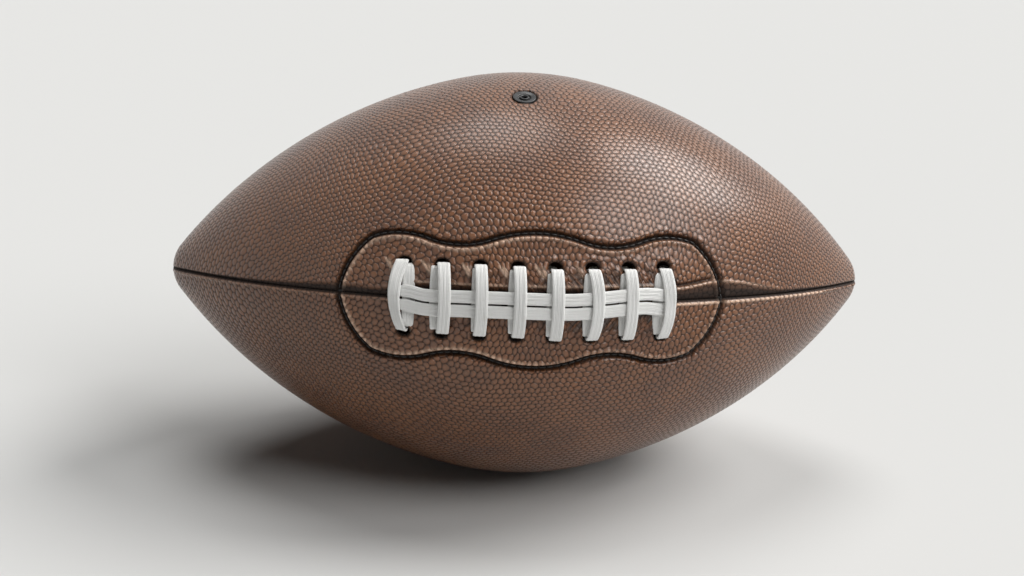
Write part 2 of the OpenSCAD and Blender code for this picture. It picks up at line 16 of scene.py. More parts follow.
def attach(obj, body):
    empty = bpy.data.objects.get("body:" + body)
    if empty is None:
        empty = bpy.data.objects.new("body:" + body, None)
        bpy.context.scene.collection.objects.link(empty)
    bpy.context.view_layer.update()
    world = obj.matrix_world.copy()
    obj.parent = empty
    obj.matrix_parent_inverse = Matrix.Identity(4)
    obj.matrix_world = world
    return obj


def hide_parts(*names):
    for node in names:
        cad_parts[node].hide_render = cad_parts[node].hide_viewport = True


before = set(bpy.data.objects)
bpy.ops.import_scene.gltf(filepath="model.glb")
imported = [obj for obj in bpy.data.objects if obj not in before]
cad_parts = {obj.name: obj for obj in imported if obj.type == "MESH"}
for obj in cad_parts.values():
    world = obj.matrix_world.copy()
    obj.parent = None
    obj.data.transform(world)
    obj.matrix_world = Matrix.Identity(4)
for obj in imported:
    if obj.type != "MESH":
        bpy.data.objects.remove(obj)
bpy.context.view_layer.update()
print("solids in the frame:", len(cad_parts))

# %% [markdown]
# ## The camera
# The camera is the first thing to settle, because every later choice is judged through it. It
# looks down on the ball by about twenty degrees from a little over half a metre. Its place is
# worked out from three turns and an offset, so that each can be set by itself.

# %% Camera
MM = 0.001
BALL_MIDDLE = Vector((0, 0, 84.0)) * MM
LOOK_DOWN, LOOK_ROUND, LOOK_ROLL = 20.11, 4.10, 1.07
CAMERA_OFFSET = Vector((3.16, 600.0, 6.53)) * MM
PHOTO_WIDTH_PX, FOCAL_PX, SENSOR_MM = 1024, 1405.3, 36.0

turn = (
    Matrix.Rotation(math.radians(LOOK_ROLL), 3, "Y")
    @ Matrix.Rotation(math.radians(LOOK_ROUND), 3, "Z")
    @ Matrix.Rotation(math.radians(LOOK_DOWN), 3, "X")
)
camera_data = bpy.data.cameras.new("camera")
camera_data.sensor_width = SENSOR_MM
camera_data.lens = SENSOR_MM * FOCAL_PX / PHOTO_WIDTH_PX
camera_data.clip_end = 100
camera = bpy.data.objects.new("camera", camera_data)
bpy.context.scene.collection.objects.link(camera)
right, forward, up = turn.row
axes = Matrix((right, up, -forward)).transposed()
place = BALL_MIDDLE - turn.transposed() @ CAMERA_OFFSET
camera.matrix_world = Matrix.Translation(place) @ axes.to_4x4()
bpy.context.scene.camera = camera
print("camera stands at", [round(v, 3) for v in place])

# %% [markdown]
# ## Light
# The ball is lit from above and from behind on the right, so its upper side glows, its front
# falls into shade and one soft shadow lies to the front left. Sun lamps with wide discs stand for
# the softboxes: they light the whole table evenly, and their breadth makes the sheen broad and
# the shadow's edge soft. The one on the right keeps the white lace white, and a dim world fills
# the rest.

# %% Lamps and world
# Each lamp: name, degrees round from +X, degrees up, degrees of disc, strength and tint.
LAMPS = (
    ("softbox_overhead", 104, 75, 30, 1.15, (1.0, 0.99, 0.975)),
    ("softbox_behind", 14, 47, 32, 2.4, (1.0, 0.985, 0.965)),
    ("softbox_right", -34, 40, 34, 1.5, (1.0, 0.99, 0.98)),
)
FILL = 0.02
BACKDROP = (0.785, 0.79, 0.785, 1)

for name, round_by, up_by, disc, strength, tint in LAMPS:
    lamp_data = bpy.data.lights.new(name, "SUN")
    lamp_data.energy = strength
    lamp_data.angle = math.radians(disc)
    lamp_data.color = tint
    lamp = bpy.data.objects.new(name, lamp_data)
    bpy.context.scene.collection.objects.link(lamp)
    around, rise = math.radians(round_by), math.radians(up_by)
    flat = math.cos(rise)
    to_lamp = Vector((flat * math.cos(around), flat * math.sin(around), math.sin(rise)))
    lamp.rotation_euler = to_lamp.to_track_quat("Z", "Y").to_euler()

world = bpy.data.worlds.new("studio")
bpy.context.scene.world = world
world.use_nodes = True
sky = world.node_tree
sky.nodes.clear()
path = sky.nodes.new("ShaderNodeLightPath")
seen = path.outputs["Is Camera Ray"]
for other in ("Is Glossy Ray", "Is Transmission Ray"):
    either = sky.nodes.new("ShaderNodeMath")
    either.operation = "MAXIMUM"
    sky.links.new(seen, either.inputs[0])
    sky.links.new(path.outputs[other], either.inputs[1])
    seen = either.outputs[0]
fill, backdrop = sky.nodes.new("ShaderNodeBackground"), sky.nodes.new("ShaderNodeBackground")
fill.inputs["Color"].default_value = (0.97, 0.985, 1.0, 1)
fill.inputs["Strength"].default_value = FILL
backdrop.inputs["Color"].default_value = BACKDROP
choose, sky_out = sky.nodes.new("ShaderNodeMixShader"), sky.nodes.new("ShaderNodeOutputWorld")
sky.links.new(seen, choose.inputs[0])
sky.links.new(fill.outputs[0], choose.inputs[1])
sky.links.new(backdrop.outputs[0], choose.inputs[2])
sky.links.new(choose.outputs[0], sky_out.inputs[0])
bpy.context.scene.view_settings.view_transform = "Standard"
print(len(LAMPS), "lamps, fill", FILL)

# %% [markdown]
# ## Writing materials as sums
# Leather, lace and rubber all need patterns that are added, multiplied and mixed. Wiring each
# Math node by hand hides the idea, so one small class wraps a socket, and a sum in Python adds
# the nodes.


# %% Wires and finishes
class Wire:
    """A shader socket that takes + - * and **."""

    def __init__(self, finish, socket):
        self.finish, self.socket = finish, socket

    def _sum(self, operation, a, b):
        return self.finish.node("Math", {"operation": operation}, {0: a, 1: b})

    def __add__(self, other):
        return self._sum("ADD", self, other)

    def __sub__(self, other):
        return self._sum("SUBTRACT", self, other)

    def __rsub__(self, other):
        return self._sum("SUBTRACT", other, self)

    def __mul__(self, other):
        return self._sum("MULTIPLY", self, other)

    def __pow__(self, other):
        return self._sum("POWER", self, other)

    __radd__, __rmul__ = __add__, __mul__


class Finish:
    """A material whose nodes are added by one method."""

    def __init__(self, name):
        self.material = bpy.data.materials.new(name)
        self.material.use_nodes = True
        self.tree = self.material.node_tree
        self.shader = next(n for n in self.tree.nodes if n.type == "BSDF_PRINCIPLED")

    def node(self, kind, settings=(), sockets=(), out=0):
        new = self.tree.nodes.new("ShaderNode" + kind)
        for name, value in dict(settings).items():
            setattr(new, name, value)
        for key, value in dict(sockets).items():
            self.plug(new.inputs[key], value)
        return Wire(self, new.outputs[out])

    def plug(self, socket, value):
        if isinstance(value, Wire):
            self.tree.links.new(value.socket, socket)
        else:
            socket.default_value = value

    def set(self, **sockets):
        for name, value in sockets.items():
            title = name.replace("_", " ").title().replace("Ior", "IOR")
            self.plug(self.shader.inputs[title], value)

    def mix(self, share, a, b):
        return self.node("Mix", {"data_type": "RGBA"}, {0: share, 6: a, 7: b}, 2)

    def range(self, value, low, high, to_low=0.0, to_high=1.0, smooth=True):
        kind = {"interpolation_type": "SMOOTHSTEP" if smooth else "LINEAR", "clamp": True}
        return self.node("MapRange", kind, {0: value, 1: low, 2: high, 3: to_low, 4: to_high})

    def attribute(self, name):
        return self.node("Attribute", {"attribute_name": name}, out="Fac")

    def mapped(self, vector, scale):
        return self.node("Mapping", {}, {"Vector": vector, "Scale": scale})

    def split(self, vector):
        """The X and the Y of a vector, as two wires."""
        first = self.node("SeparateXYZ", {}, {0: vector})
        return first, Wire(self, first.socket.node.outputs[1])

    def noise(self, vector, scale, detail=3.0, roughness=0.5):
        sizes = {"Vector": vector, "Scale": scale, "Detail": detail, "Roughness": roughness}
        return self.node("TexNoise", {}, sizes)

    def bump(self, height, distance):
        return self.node("Bump", {}, {"Height": height, "Distance": distance})


def srgb(r, g, b):
    """A colour picked from a screen, as the linear values that a shader takes."""
    turned = [((v / 255 + 0.055) / 1.055) ** 2.4 if v > 10 else v / 255 / 12.92 for v in (r, g, b)]
    return (*turned, 1.0)


print("a mid grey on screen is %.2f to a shader" % srgb(128, 128, 128)[0])

# %% [markdown]
# ## The ball's outline
# A football is three arcs turned round an axis: a broad one at the middle, a long one to the
# shoulder of the tip, and a small round tip. Every part of the ball lies on that surface, so one
# function gives its radius and the way that the surface faces.

# %% Outline of the ball
HALF_LENGTH, MID_RADIUS = 145.5, 84.5
MID_ARC_R, MID_HALF, FLANK_R = 123.0, 27.0, 205.0
BLEND = 0.02
LACE_RISE, REST_DEPTH = 12.0, 0.5

# Each arc's centre has a distance from the axis and a place along it. The flank's arc takes over
# where the middle one ends, and a hair of overlap keeps it joined to the tip's.
mid_turn = math.asin(MID_HALF / MID_ARC_R)
MID_AXIS = MID_RADIUS - MID_ARC_R
FLANK_AXIS = MID_AXIS - (FLANK_R - MID_ARC_R) * math.cos(mid_turn)
FLANK_ALONG = -(FLANK_R - MID_ARC_R) * math.sin(mid_turn)
flank_over = FLANK_R + BLEND - HALF_LENGTH + FLANK_ALONG
TIP_R = (FLANK_R + BLEND + HALF_LENGTH - FLANK_ALONG - FLANK_AXIS ** 2 / flank_over) / 2
TIP_ALONG = HALF_LENGTH - TIP_R
tip_way = np.array([-FLANK_AXIS, TIP_ALONG - FLANK_ALONG])
FLANK_END = FLANK_ALONG + FLANK_R * tip_way[1] / np.linalg.norm(tip_way)


def outline(x):
    """Radius at a place along the ball, and the outward direction as (radial, along)."""
    side, x = np.sign(x), np.abs(np.asarray(x, float))
    arcs = (
        (MID_AXIS, 0.0, MID_ARC_R),
        (FLANK_AXIS, FLANK_ALONG, FLANK_R),
        (0.0, TIP_ALONG, TIP_R),
    )
    which = (x > MID_HALF).astype(int) + (x > FLANK_END)
    axis, along, r = (np.array(column)[which] for column in zip(*arcs))
    rise = np.sqrt(np.maximum(r ** 2 - (x - along) ** 2, 0))
    return axis + rise, rise / r, side * (x - along) / r


def at_rest(x, y, z):
    """From millimetres with the laces on top to metres in the ball's place at rest."""
    tilt = math.radians(90 - LACE_RISE)
    across = y * math.cos(tilt) - z * math.sin(tilt)
    height = y * math.sin(tilt) + z * math.cos(tilt) + MID_RADIUS - REST_DEPTH
    return MM * np.stack(np.broadcast_arrays(x, across, height), -1)


def on_ball(x, angle, lift=0.0):
    """Places on the ball at rest. The angle is in radians from the lace seam, towards the top."""
    radius, out, along = outline(x)
    radius = radius + lift * out
    return at_rest(x + lift * along, radius * np.sin(angle), radius * np.cos(angle))


print("tip radius %.2f mm, length %.1f mm" % (TIP_R, 2 * HALF_LENGTH))

# %% [markdown]
# ## Where the laces, the holes and the sewn groove lie
# The reinforcement behind the lace holes is sewn on from outside, and its thread sinks into a
# wavy groove round the laces: three humps and two dips on each panel. The outline is arcs, and
# the distance to it is measured on a run of points along them.

# %% Sewn outline and lace holes
RUNGS, RUNG_PITCH = 8, 13.9
EYE_ARC, EYE_R, EYE_SQUASH = 13.25, 2.5, 1.3
SLOT_HALF, SLOT_W, SLOT_END_R = 51.5, 3.0, 2.6
HUMP_H, DIP_X, DIP_H, DIP_R = 25.6, 29.0, 20.5, 35.0
SIDE_X, SIDE_H, END_X, END_R, END_DROP = 50.0, 24.0, 74.2, 34.2, 5.0
SEWN_STEP, SEWN_FOOT, STITCH_PITCH = 0.4, 0.6, 2.8
rung_places = (np.arange(RUNGS) - (RUNGS - 1) / 2) * RUNG_PITCH

hump_r = (DIP_X ** 2 + (HUMP_H - DIP_H) ** 2) / (2 * (HUMP_H - DIP_H)) - DIP_R
side_r = ((SIDE_X - DIP_X) ** 2 + (SIDE_H - DIP_H) ** 2) / (2 * (SIDE_H - DIP_H)) - DIP_R


def sewn_height(x):
    """Height of the sewn outline over the seam, seen square to the laces."""
    x = np.abs(x)

    def arc(middle_x, middle_h, r, side):
        return middle_h + side * np.sqrt(np.maximum(r ** 2 - (x - middle_x) ** 2, 0))

    hump = arc(0, HUMP_H - hump_r, hump_r, 1)
    dip = arc(DIP_X, DIP_H + DIP_R, DIP_R, -1)
    side = arc(SIDE_X, SIDE_H - side_r, side_r, 1)
    end = arc(END_X - END_R, -END_DROP, END_R, 1)
    first = DIP_X * hump_r / (hump_r + DIP_R)
    second = DIP_X + (SIDE_X - DIP_X) * DIP_R / (side_r + DIP_R)
    low = np.where(x < first, hump, np.where(x < second, dip, np.minimum(side, end)))
    return np.where(x < SIDE_X, np.where(x < second, low, side), low)


def even_run(points, step):
    """Points every step along a line of points."""
    lengths = np.r_[0, np.cumsum(np.linalg.norm(np.diff(points, axis=0), axis=1))]
    at = np.arange(0, lengths[-1], step)
    return np.stack([np.interp(at, lengths, c) for c in points.T], -1)


fine = END_X - (1 - np.cos(np.linspace(0, math.pi / 2, 700))) * END_X
sewn_x = np.r_[fine, -fine[::-1]]
sewn = np.stack([sewn_x, sewn_height(sewn_x)], -1)
sewn = even_run(sewn[sewn[:, 1] > SEWN_FOOT], SEWN_STEP)
print("sewn outline %.0f mm a side" % (SEWN_STEP * len(sewn)))

# %% [markdown]
# ## The relief of the leather
# Each panel is a flat hide, blown tight against the others. Its edges roll into the seams, the
# groove pulls it down along the thread, and every lace hole puckers it. These are shapes that
# catch the light, so they are real moves of the mesh and not a bump in the material. A seam comes
# first: the edge falls away in a quarter round, behind a low lip.


# %% Rolled seams
def smooth(value, low, high):
    t = np.clip((value - low) / (high - low), 0, 1)
    return t * t * (3 - 2 * t)


def rolled(distance, width, depth):
    """Fall of an edge that rolls over a quarter of a round."""
    t = np.clip(1 - distance / width, 0, 1)
    return -depth * (1 - np.sqrt(np.maximum(1 - t * t, 0)))


def rough(x, s, size, seed):
    """Soft noise over a panel, from -1 to 1."""
    flat_x, flat_s = np.ravel(x) / size, np.ravel(s) / size
    values = [noise.noise(Vector((a, b, seed))) for a, b in zip(flat_x, flat_s)]
    return np.reshape(values, np.shape(x))


def hill(distance, breadth):
    """A soft rise, 1 high, that fades out past its breadth."""
    return np.exp(-((distance / breadth) ** 2))


LIP_BACK, LIP_BREADTH, LIP_BEAD_PITCH = 0.35, 0.5, 2.3


def seam_relief(distance, width=1.5, depth=1.35, lip=0.13, beads=0.0, x=0.0, slope=0.0):
    """Fall, painted shade and painted highlight of an edge that rolls into a seam behind a lip."""
    ridge = hill(distance - width - LIP_BACK, LIP_BREADTH)
    ridge = ridge * (1 + beads * np.cos(2 * math.pi * x / LIP_BEAD_PITCH))
    lift = (1 - slope) * rolled(distance, width, depth) + lip * ridge
    lift -= slope * depth * np.clip(1 - distance / width, 0, 1)
    # The second value is painted shade down the rolled edge; the lip's ridge goes on as a painted
    # highlight.
    return lift, 1 - smooth(distance, 0.45 * width, width), ridge


seam_depth, _, _ = seam_relief(np.zeros(1))
print("a seam's edge falls %.2f mm" % -seam_depth[0])

# %% [markdown]
# ## The groove and the puckers
# The groove runs along the sewn line: the thread draws a narrow valley, its inner lip stands up
# in beads between the stitches, and its outer lip is ragged. At every lace hole the tight lace
# draws the hide into a raised ring, a faint fan and two short creases. All are sums of soft rises,
# so they blend where they meet.

# %% Groove and puckers
GROOVE_REACH_X, GROOVE_REACH_S, FAR, CHUNK = 82, 36, 99.0, 4000
GROOVE_DEPTH, GROOVE_SAG, GROOVE_SAG_BREADTH = 1.6, 0.5, 3.2
INNER_LIP_OUT, INNER_LIP_BREADTH = 2.0, 0.62
OUTER_LIP_OUT, OUTER_LIP_BREADTH = 2.4, 0.9
RAGGED_SIZE, RAGGED_SEED = 2.4, 3.1


def to_sewn_line(x, h, near):
    """How far each point is from the sewn line, how far along it, and whether it's inside."""
    gap, run, inside = np.full(x.shape, FAR), np.zeros(x.shape), np.zeros(x.shape)
    which = np.flatnonzero(near)
    places = np.stack([x.ravel()[which], h.ravel()[which]], -1)
    for start in range(0, len(which), CHUNK):
        part, where = places[start : start + CHUNK], which[start : start + CHUNK]
        apart = np.linalg.norm(part[:, None] - sewn[None], axis=2)
        gap.ravel()[where] = apart.min(1)
        run.ravel()[where] = apart.argmin(1) * SEWN_STEP
        lower = part[:, 1] < sewn_height(np.clip(part[:, 0], -END_X + 0.01, END_X - 0.01))
        inside.ravel()[where] = lower & (np.abs(part[:, 0]) < END_X)
    return gap, run, inside


def groove_relief(x, s, radius):
    """The sewn groove: a valley, a beaded inner lip and a ragged outer one, with painted shade and
    highlight.
    """
    h = radius * np.sin(np.clip(s / radius, 0, 1.5))
    near = (s < GROOVE_REACH_S) & (np.abs(x) < GROOVE_REACH_X)
    gap, run, inside = to_sewn_line(x, h, near)
    outside = 1 - inside
    beads = 0.5 + 0.5 * np.cos(2 * math.pi * run / STITCH_PITCH)
    ragged = rough(x, s, RAGGED_SIZE, RAGGED_SEED)
    inner_lip = hill(gap - INNER_LIP_OUT, INNER_LIP_BREADTH) * inside
    outer_lip = hill(gap - OUTER_LIP_OUT, OUTER_LIP_BREADTH) * outside
    lips = (0.42 + 0.38 * beads) * inner_lip + (0.30 + 0.45 * ragged) * outer_lip
    edge = gap + 0.35 * ragged * outside
    valley = GROOVE_DEPTH * (1 - smooth(edge, 0.35, 1.55))
    valley += GROOVE_SAG * hill(gap, GROOVE_SAG_BREADTH) * outside
    # Painted highlight on the beads of the inner lip, mostly left of the laces.
    painted_highlight = inner_lip * (0.3 + 0.7 * beads) * (1 - 0.65 * smooth(x, -12, 12))
    return lips - valley, 1 - smooth(edge, 0.7, 1.45), painted_highlight


# Each crease: left of its hole and up from the seam at its start, and the same at its end.
CREASES = ((7.2, 14.3, 3.6, 8.6), (5.2, 13.6, 3.2, 9.6))
CREASE_BREADTH, CREASE_LIFT = 0.55, 0.5


def crease_beside(x, s, i, k):
    """A short crease to the left of a hole, a little different at each."""
    out_x, out_s, in_x, in_s = CREASES[k]
    start_x = rung_places[i] - out_x - 0.7 * math.sin(2.1 * i + k)
    start_s = out_s + 0.5 * math.cos(i + k)
    run_x, run_s = rung_places[i] - in_x - start_x, in_s - start_s
    along = ((x - start_x) * run_x + (s - start_s) * run_s) / (run_x ** 2 + run_s ** 2)
    aside = ((x - start_x) * run_s - (s - start_s) * run_x) / math.hypot(run_x, run_s)
    return hill(aside, CREASE_BREADTH) * np.sin(math.pi * np.clip(along, 0, 1)) ** 0.6


def hole_relief(x, s):
    """Puckers round the lace holes, which the lace draws out of round, and creases beside them,
    with painted shade at the rims and painted highlight on the creases.
    """
    lift, painted_shade, painted_highlight = np.zeros(x.shape), np.zeros(x.shape), np.zeros(x.shape)
    for i, hole_x in enumerate(rung_places):
        apart = np.hypot(x - hole_x, (s - EYE_ARC) * EYE_SQUASH)
        around = np.arctan2(s - EYE_ARC, x - hole_x)
        lift += rolled(apart - EYE_R, 1.1, 0.8)
        lift += 0.28 * hill(apart - 4.3, 1.2)
        lift += 0.16 * (np.cos(6 * around + 1.7 * i) * hill(apart - 5.0, 1.7))
        # Painted shade round the rim of each hole.
        painted_shade += hill(np.maximum(apart - EYE_R, 0), 0.4)
        for k in range(len(CREASES)):
            crease = crease_beside(x, s, i, k)
            lift += CREASE_LIFT * crease
            # Painted highlight along each crease.
            painted_highlight += (1.8 - 0.7 * k) * crease ** 1.5
    return lift, np.minimum(painted_shade, 1), np.minimum(painted_highlight, 1)


print(RUNGS, "holes a side, each with", len(CREASES), "creases")

# %% [markdown]
# ## A panel of leather
# A panel is cut from a flat sheet, so it is made from a flat grid too. The grid's rows run from
# one seam to the next, closer together near the seams and the groove, and its columns run from
# tip to tip.

# %% Rows and columns of the grid
QUARTER_ARC = MID_RADIUS * math.pi / 2
SEAM_ZONE = 3.2


def stretch(*parts):
    """Places from 0 on, as (end, step) stretches, in equal steps in each."""
    places, start = [np.zeros(1)], 0.0
    for end, step in parts:
        count = max(1, round((end - start) / step))
        places.append(np.linspace(start, end, count + 1)[1:])
        start = end
    return np.concatenate(places)


along_x = np.linspace(0, HALF_LENGTH, 4000)
along_r = outline(along_x)[0]
arc_length = np.r_[0, np.cumsum(np.hypot(np.diff(along_x), np.diff(along_r)))]
ARC_END = arc_length[-1]
front_columns = stretch((54, 0.42), (81, 0.6), (ARC_END, 0.76))
back_columns = stretch((ARC_END - 14, 1.7), (ARC_END, 0.85))
far_side = (QUARTER_ARC - SEAM_ZONE, 1.4), (QUARTER_ARC, 0.4)
front_rows = stretch((SEAM_ZONE, 0.32), (30, 0.45), *far_side)
back_rows = stretch((SEAM_ZONE, 0.4), *far_side)
print("front panel", 2 * len(front_columns) - 1, "by", len(front_rows), "points")

# %% [markdown]
# ## The edges beside the laces
# Most seams are alike, but the two edges at the laces aren't. The upper one gapes: it falls in a
# long slope, and to the right of the laces it is tucked under. The lower one stands up in a
# beaded lip. Both lips get a painted highlight, and the upper edge's slope and tuck get painted
# shade.

# %% Edges at the laces
SEAM_GAP, TIP_FADE_R, AXIS_R = 0.1, 12, 0.02
TUCK_OUT, TUCK_BREADTH, TUCK_DEPTH = 1.6, 0.72, 1.05


def upper_edge(x, from_edge, right_side):
    """Fall, painted shade and painted highlight of the upper panel's edge at the laces."""
    open_by = (1 - smooth(np.abs(x), 72, 106)) * (0.45 + 0.55 * right_side)
    wide = 1.7 - 0.8 * smooth(np.abs(x), 95, 130)
    wide += open_by * (2.5 + 2.1 * smooth(np.abs(x), 54, 72))
    lift, painted_shade, painted_highlight = seam_relief(
        from_edge, wide, 1.35 + 0.45 * open_by, 0.16 + 0.3 * open_by, slope=0.4 * open_by
    )
    flank = 1 - smooth(from_edge, 0.75 * wide, wide + 0.2)
    # Painted shade down the flank of the gaping edge.
    painted_shade = np.maximum(painted_shade, 0.88 * open_by * smooth(x, 50, 54) * flank)
    tuck = hill(from_edge - wide - TUCK_OUT, TUCK_BREADTH)
    tuck = tuck * smooth(x, 50, 54) * (1 - smooth(x, 64, 73))
    lift -= TUCK_DEPTH * tuck
    # Painted shade in the tuck; the lip's painted highlight is kept where the edge gapes on the
    # right.
    return lift, np.maximum(painted_shade, 0.95 * tuck), painted_highlight * 0.45 * open_by * right_side


def lower_edge(x, from_edge, right_side):
    """Fall, painted shade and painted highlight of the lower panel's edge at the laces."""
    beads = 0.2 + 0.65 * smooth(x, 60, 84)
    lift, painted_shade, painted_highlight = seam_relief(from_edge, 0.9, 1.2, 0.55, beads, x)
    # Where the beaded lip gets its painted highlight: most to the right of the laces.
    highlight_share = 0.15 + 0.15 * right_side + 0.8 * smooth(x, 40, 56)
    return lift, painted_shade, painted_highlight * highlight_share * (1 - smooth(x, 112, 132))


def slot_edge(x):
    """How far the slot under the laces opens beside the seam, with a round at each end."""
    round_end = np.sqrt(np.maximum(SLOT_END_R ** 2 - (np.abs(x) - SLOT_HALF) ** 2, 0))
    return np.where(np.abs(x) < SLOT_HALF, np.maximum(round_end, SLOT_W / 2), round_end)


print("the slot opens %.1f mm a side" % slot_edge(np.zeros(1))[0])

# %% [markdown]
# ## Every point of a panel
# One function gathers it all: where a grid point lies, how the seams, the groove and the holes
# move it, and three numbers for the leather: how much painted shade, how much painted highlight
# and how hard drawn it is there.

# %% Points of a panel
VALVE_X, VALVE_TURN, VALVE_HOLE_R = -3.0, math.radians(62.5), 4.85
VALVE_ARC = VALVE_TURN * outline(VALVE_X)[0]
PULL_REACH, PULL_FADE = 8.5, 3.2


def panel_points(front, upper):
    """Everything about each grid point of a panel: place, relief, painted shade and highlight, and
    pattern.
    """
    half, rows = (front_columns, front_rows) if front else (back_columns, back_rows)
    columns = np.r_[-half[:0:-1], half]
    x = np.sign(columns) * np.interp(np.abs(columns), arc_length, along_x)
    x, share = np.meshgrid(x, rows / QUARTER_ARC)
    radius = np.maximum(outline(x)[0], AXIS_R)
    length = radius * math.pi / 2
    size = np.minimum(1, radius / TIP_FADE_R)
    edge = SEAM_GAP * size
    if front:
        edge = np.maximum(edge, slot_edge(x))
    s = edge + share * (length - edge - SEAM_GAP * size)
    right_side = smooth(x, -60, -50)
    if front:
        at_laces = upper_edge if upper else lower_edge
        lift_a, painted_shade_a, painted_highlight = at_laces(x, s - edge, right_side)
    else:
        lift_a, painted_shade_a, _ = seam_relief(s - edge)
        painted_highlight = np.zeros(x.shape)
    lift_b, painted_shade_b, _ = seam_relief(length - s)
    lift, painted_shade = lift_a * size + lift_b * size, np.maximum(painted_shade_a, painted_shade_b)
    pull = np.zeros(x.shape)
    if front:
        groove, groove_painted_shade, groove_painted_highlight = groove_relief(x, s, radius)
        holes, hole_painted_shade, crease_highlight = hole_relief(x, s)
        lift += groove + holes
        painted_shade = np.maximum(np.maximum(painted_shade, groove_painted_shade), hole_painted_shade)
        painted_highlight = np.maximum(painted_highlight, groove_painted_highlight)
        near = hill(np.maximum(s - PULL_REACH, 0), PULL_FADE) * (1 - smooth(np.abs(x), 51, 56))
        pull = near * (0.35 + 0.65 * smooth(x, -10, 14))
    if front and upper:
        # Painted highlight along the creases, fading out to the right of the laces.
        painted_highlight = np.maximum(painted_highlight, crease_highlight * (1 - smooth(x, 8, 22)))
        from_rim = np.hypot(x - VALVE_X, s - VALVE_ARC) - VALVE_HOLE_R
        lift += rolled(from_rim, 0.9, 0.5)
        # Painted shade round the rim of the valve's hole.
        painted_shade = np.maximum(painted_shade, hill(np.maximum(from_rim, 0), 0.4))
    return dict(x=x, s=s, radius=radius, lift=lift, painted_shade=painted_shade, pull=pull, painted_highlight=painted_highlight,
                u=np.broadcast_to(columns, x.shape), v=s - length / 2)


print("the valve is %.1f mm up from the seam" % VALVE_ARC)

# %% [markdown]
# ## Grids and holes
# Blender numbers the points of a grid in its own way, so each point's row and column are read back
# from its place. A hole is cut in three steps: the faces inside it go, its rim is drawn to a true
# oval, and the rim is turned in to the hide's depth.

# %% Grids and holes
RIM_LEAST, RIM_REACH, RIM_SINK = 0.5, 0.7, 0.8
TURN_IN, TURN_IN_CLEAR, WELD = 1.6, 4, 1e-6


def numbered_grid(columns, rows):
    """A flat grid, with the column and the row of each of its points."""
    bm = bmesh.new()
    bmesh.ops.create_grid(bm, x_segments=columns - 1, y_segments=rows - 1, size=1)
    bm.verts.ensure_lookup_table()
    bm.verts.index_update()
    grid = np.array([v.co[:2] for v in bm.verts])
    column = np.rint((grid[:, 0] + 1) / 2 * (columns - 1)).astype(int)
    row = np.rint((grid[:, 1] + 1) / 2 * (rows - 1)).astype(int)
    return bm, column, row


def holes_in(front, upper):
    """The holes of a panel: place along, place from the seam, radius and squash."""
    if not front:
        return []
    holes = [(hole_x, EYE_ARC, EYE_R, EYE_SQUASH) for hole_x in rung_places]
    return holes + [(VALVE_X, VALVE_ARC, VALVE_HOLE_R, 1)] if upper else holes


def cut_holes(bm, cuts, flat, upper, layers):
    """Deletes the faces inside each hole, and draws its rim to a true oval."""
    doomed = set()
    for hole_x, hole_s, r, squash in cuts:
        apart = np.hypot(flat[:, 0] - hole_x, (flat[:, 1] - hole_s) * squash)
        inner = set(np.flatnonzero(apart < r))
        faces = {f for i in inner for f in bm.verts[i].link_faces}
        doomed |= {f for f in faces if sum(v.index in inner for v in f.verts) > 1}
        rim = {v for f in faces for v in f.verts}
        for vert in rim:
            gap = apart[vert.index]
            if RIM_LEAST < gap < r + RIM_REACH:
                sx, ss = (flat[vert.index] - (hole_x, hole_s)) * r / gap + (hole_x, hole_s)
                angle = ss / outline(sx)[0]
                vert.co = on_ball(sx, angle if upper else -angle, -RIM_SINK)
                # Painted shade on the rim of each hole.
                vert[layers["painted_shade"]] = 1
    bmesh.ops.delete(bm, geom=list(doomed), context="FACES")


def turn_in(bm, painted_shade):
    """Extrudes every open edge, and moves it in towards the ball's axis."""
    edges = [e for e in bm.edges if e.is_boundary]
    new = bmesh.ops.extrude_edge_only(bm, edges=edges)["geom"]
    for vert in (v for v in new if isinstance(v, bmesh.types.BMVert)):
        x, y, z = vert.co
        inward = Vector((0, -y, BALL_MIDDLE.z - z))
        if inward.length > TURN_IN_CLEAR * MM:
            vert.co += inward.normalized() * TURN_IN * MM
        # Painted shade on the turned-in walls.
        vert[painted_shade] = 1


def bm_object(bm, name):
    mesh = bpy.data.meshes.new(name)
    bm.to_mesh(mesh)
    bm.free()
    mesh.polygons.foreach_set("use_smooth", [True] * len(mesh.polygons))
    new = bpy.data.objects.new(name, mesh)
    bpy.context.scene.collection.objects.link(new)
    return new


print("holes in the upper front panel:", len(holes_in(True, True)))

# %% [markdown]
# ## Laying the panels on the ball
# The flat grid of each panel is moved point by point to its place, with its numbers beside it and
# its flat pattern as the UV map. Then its holes are cut and its open edges turned in.


# %% Four panels
HIDE_MAP, UNDER_SOLIDS = 400.0, 0.06


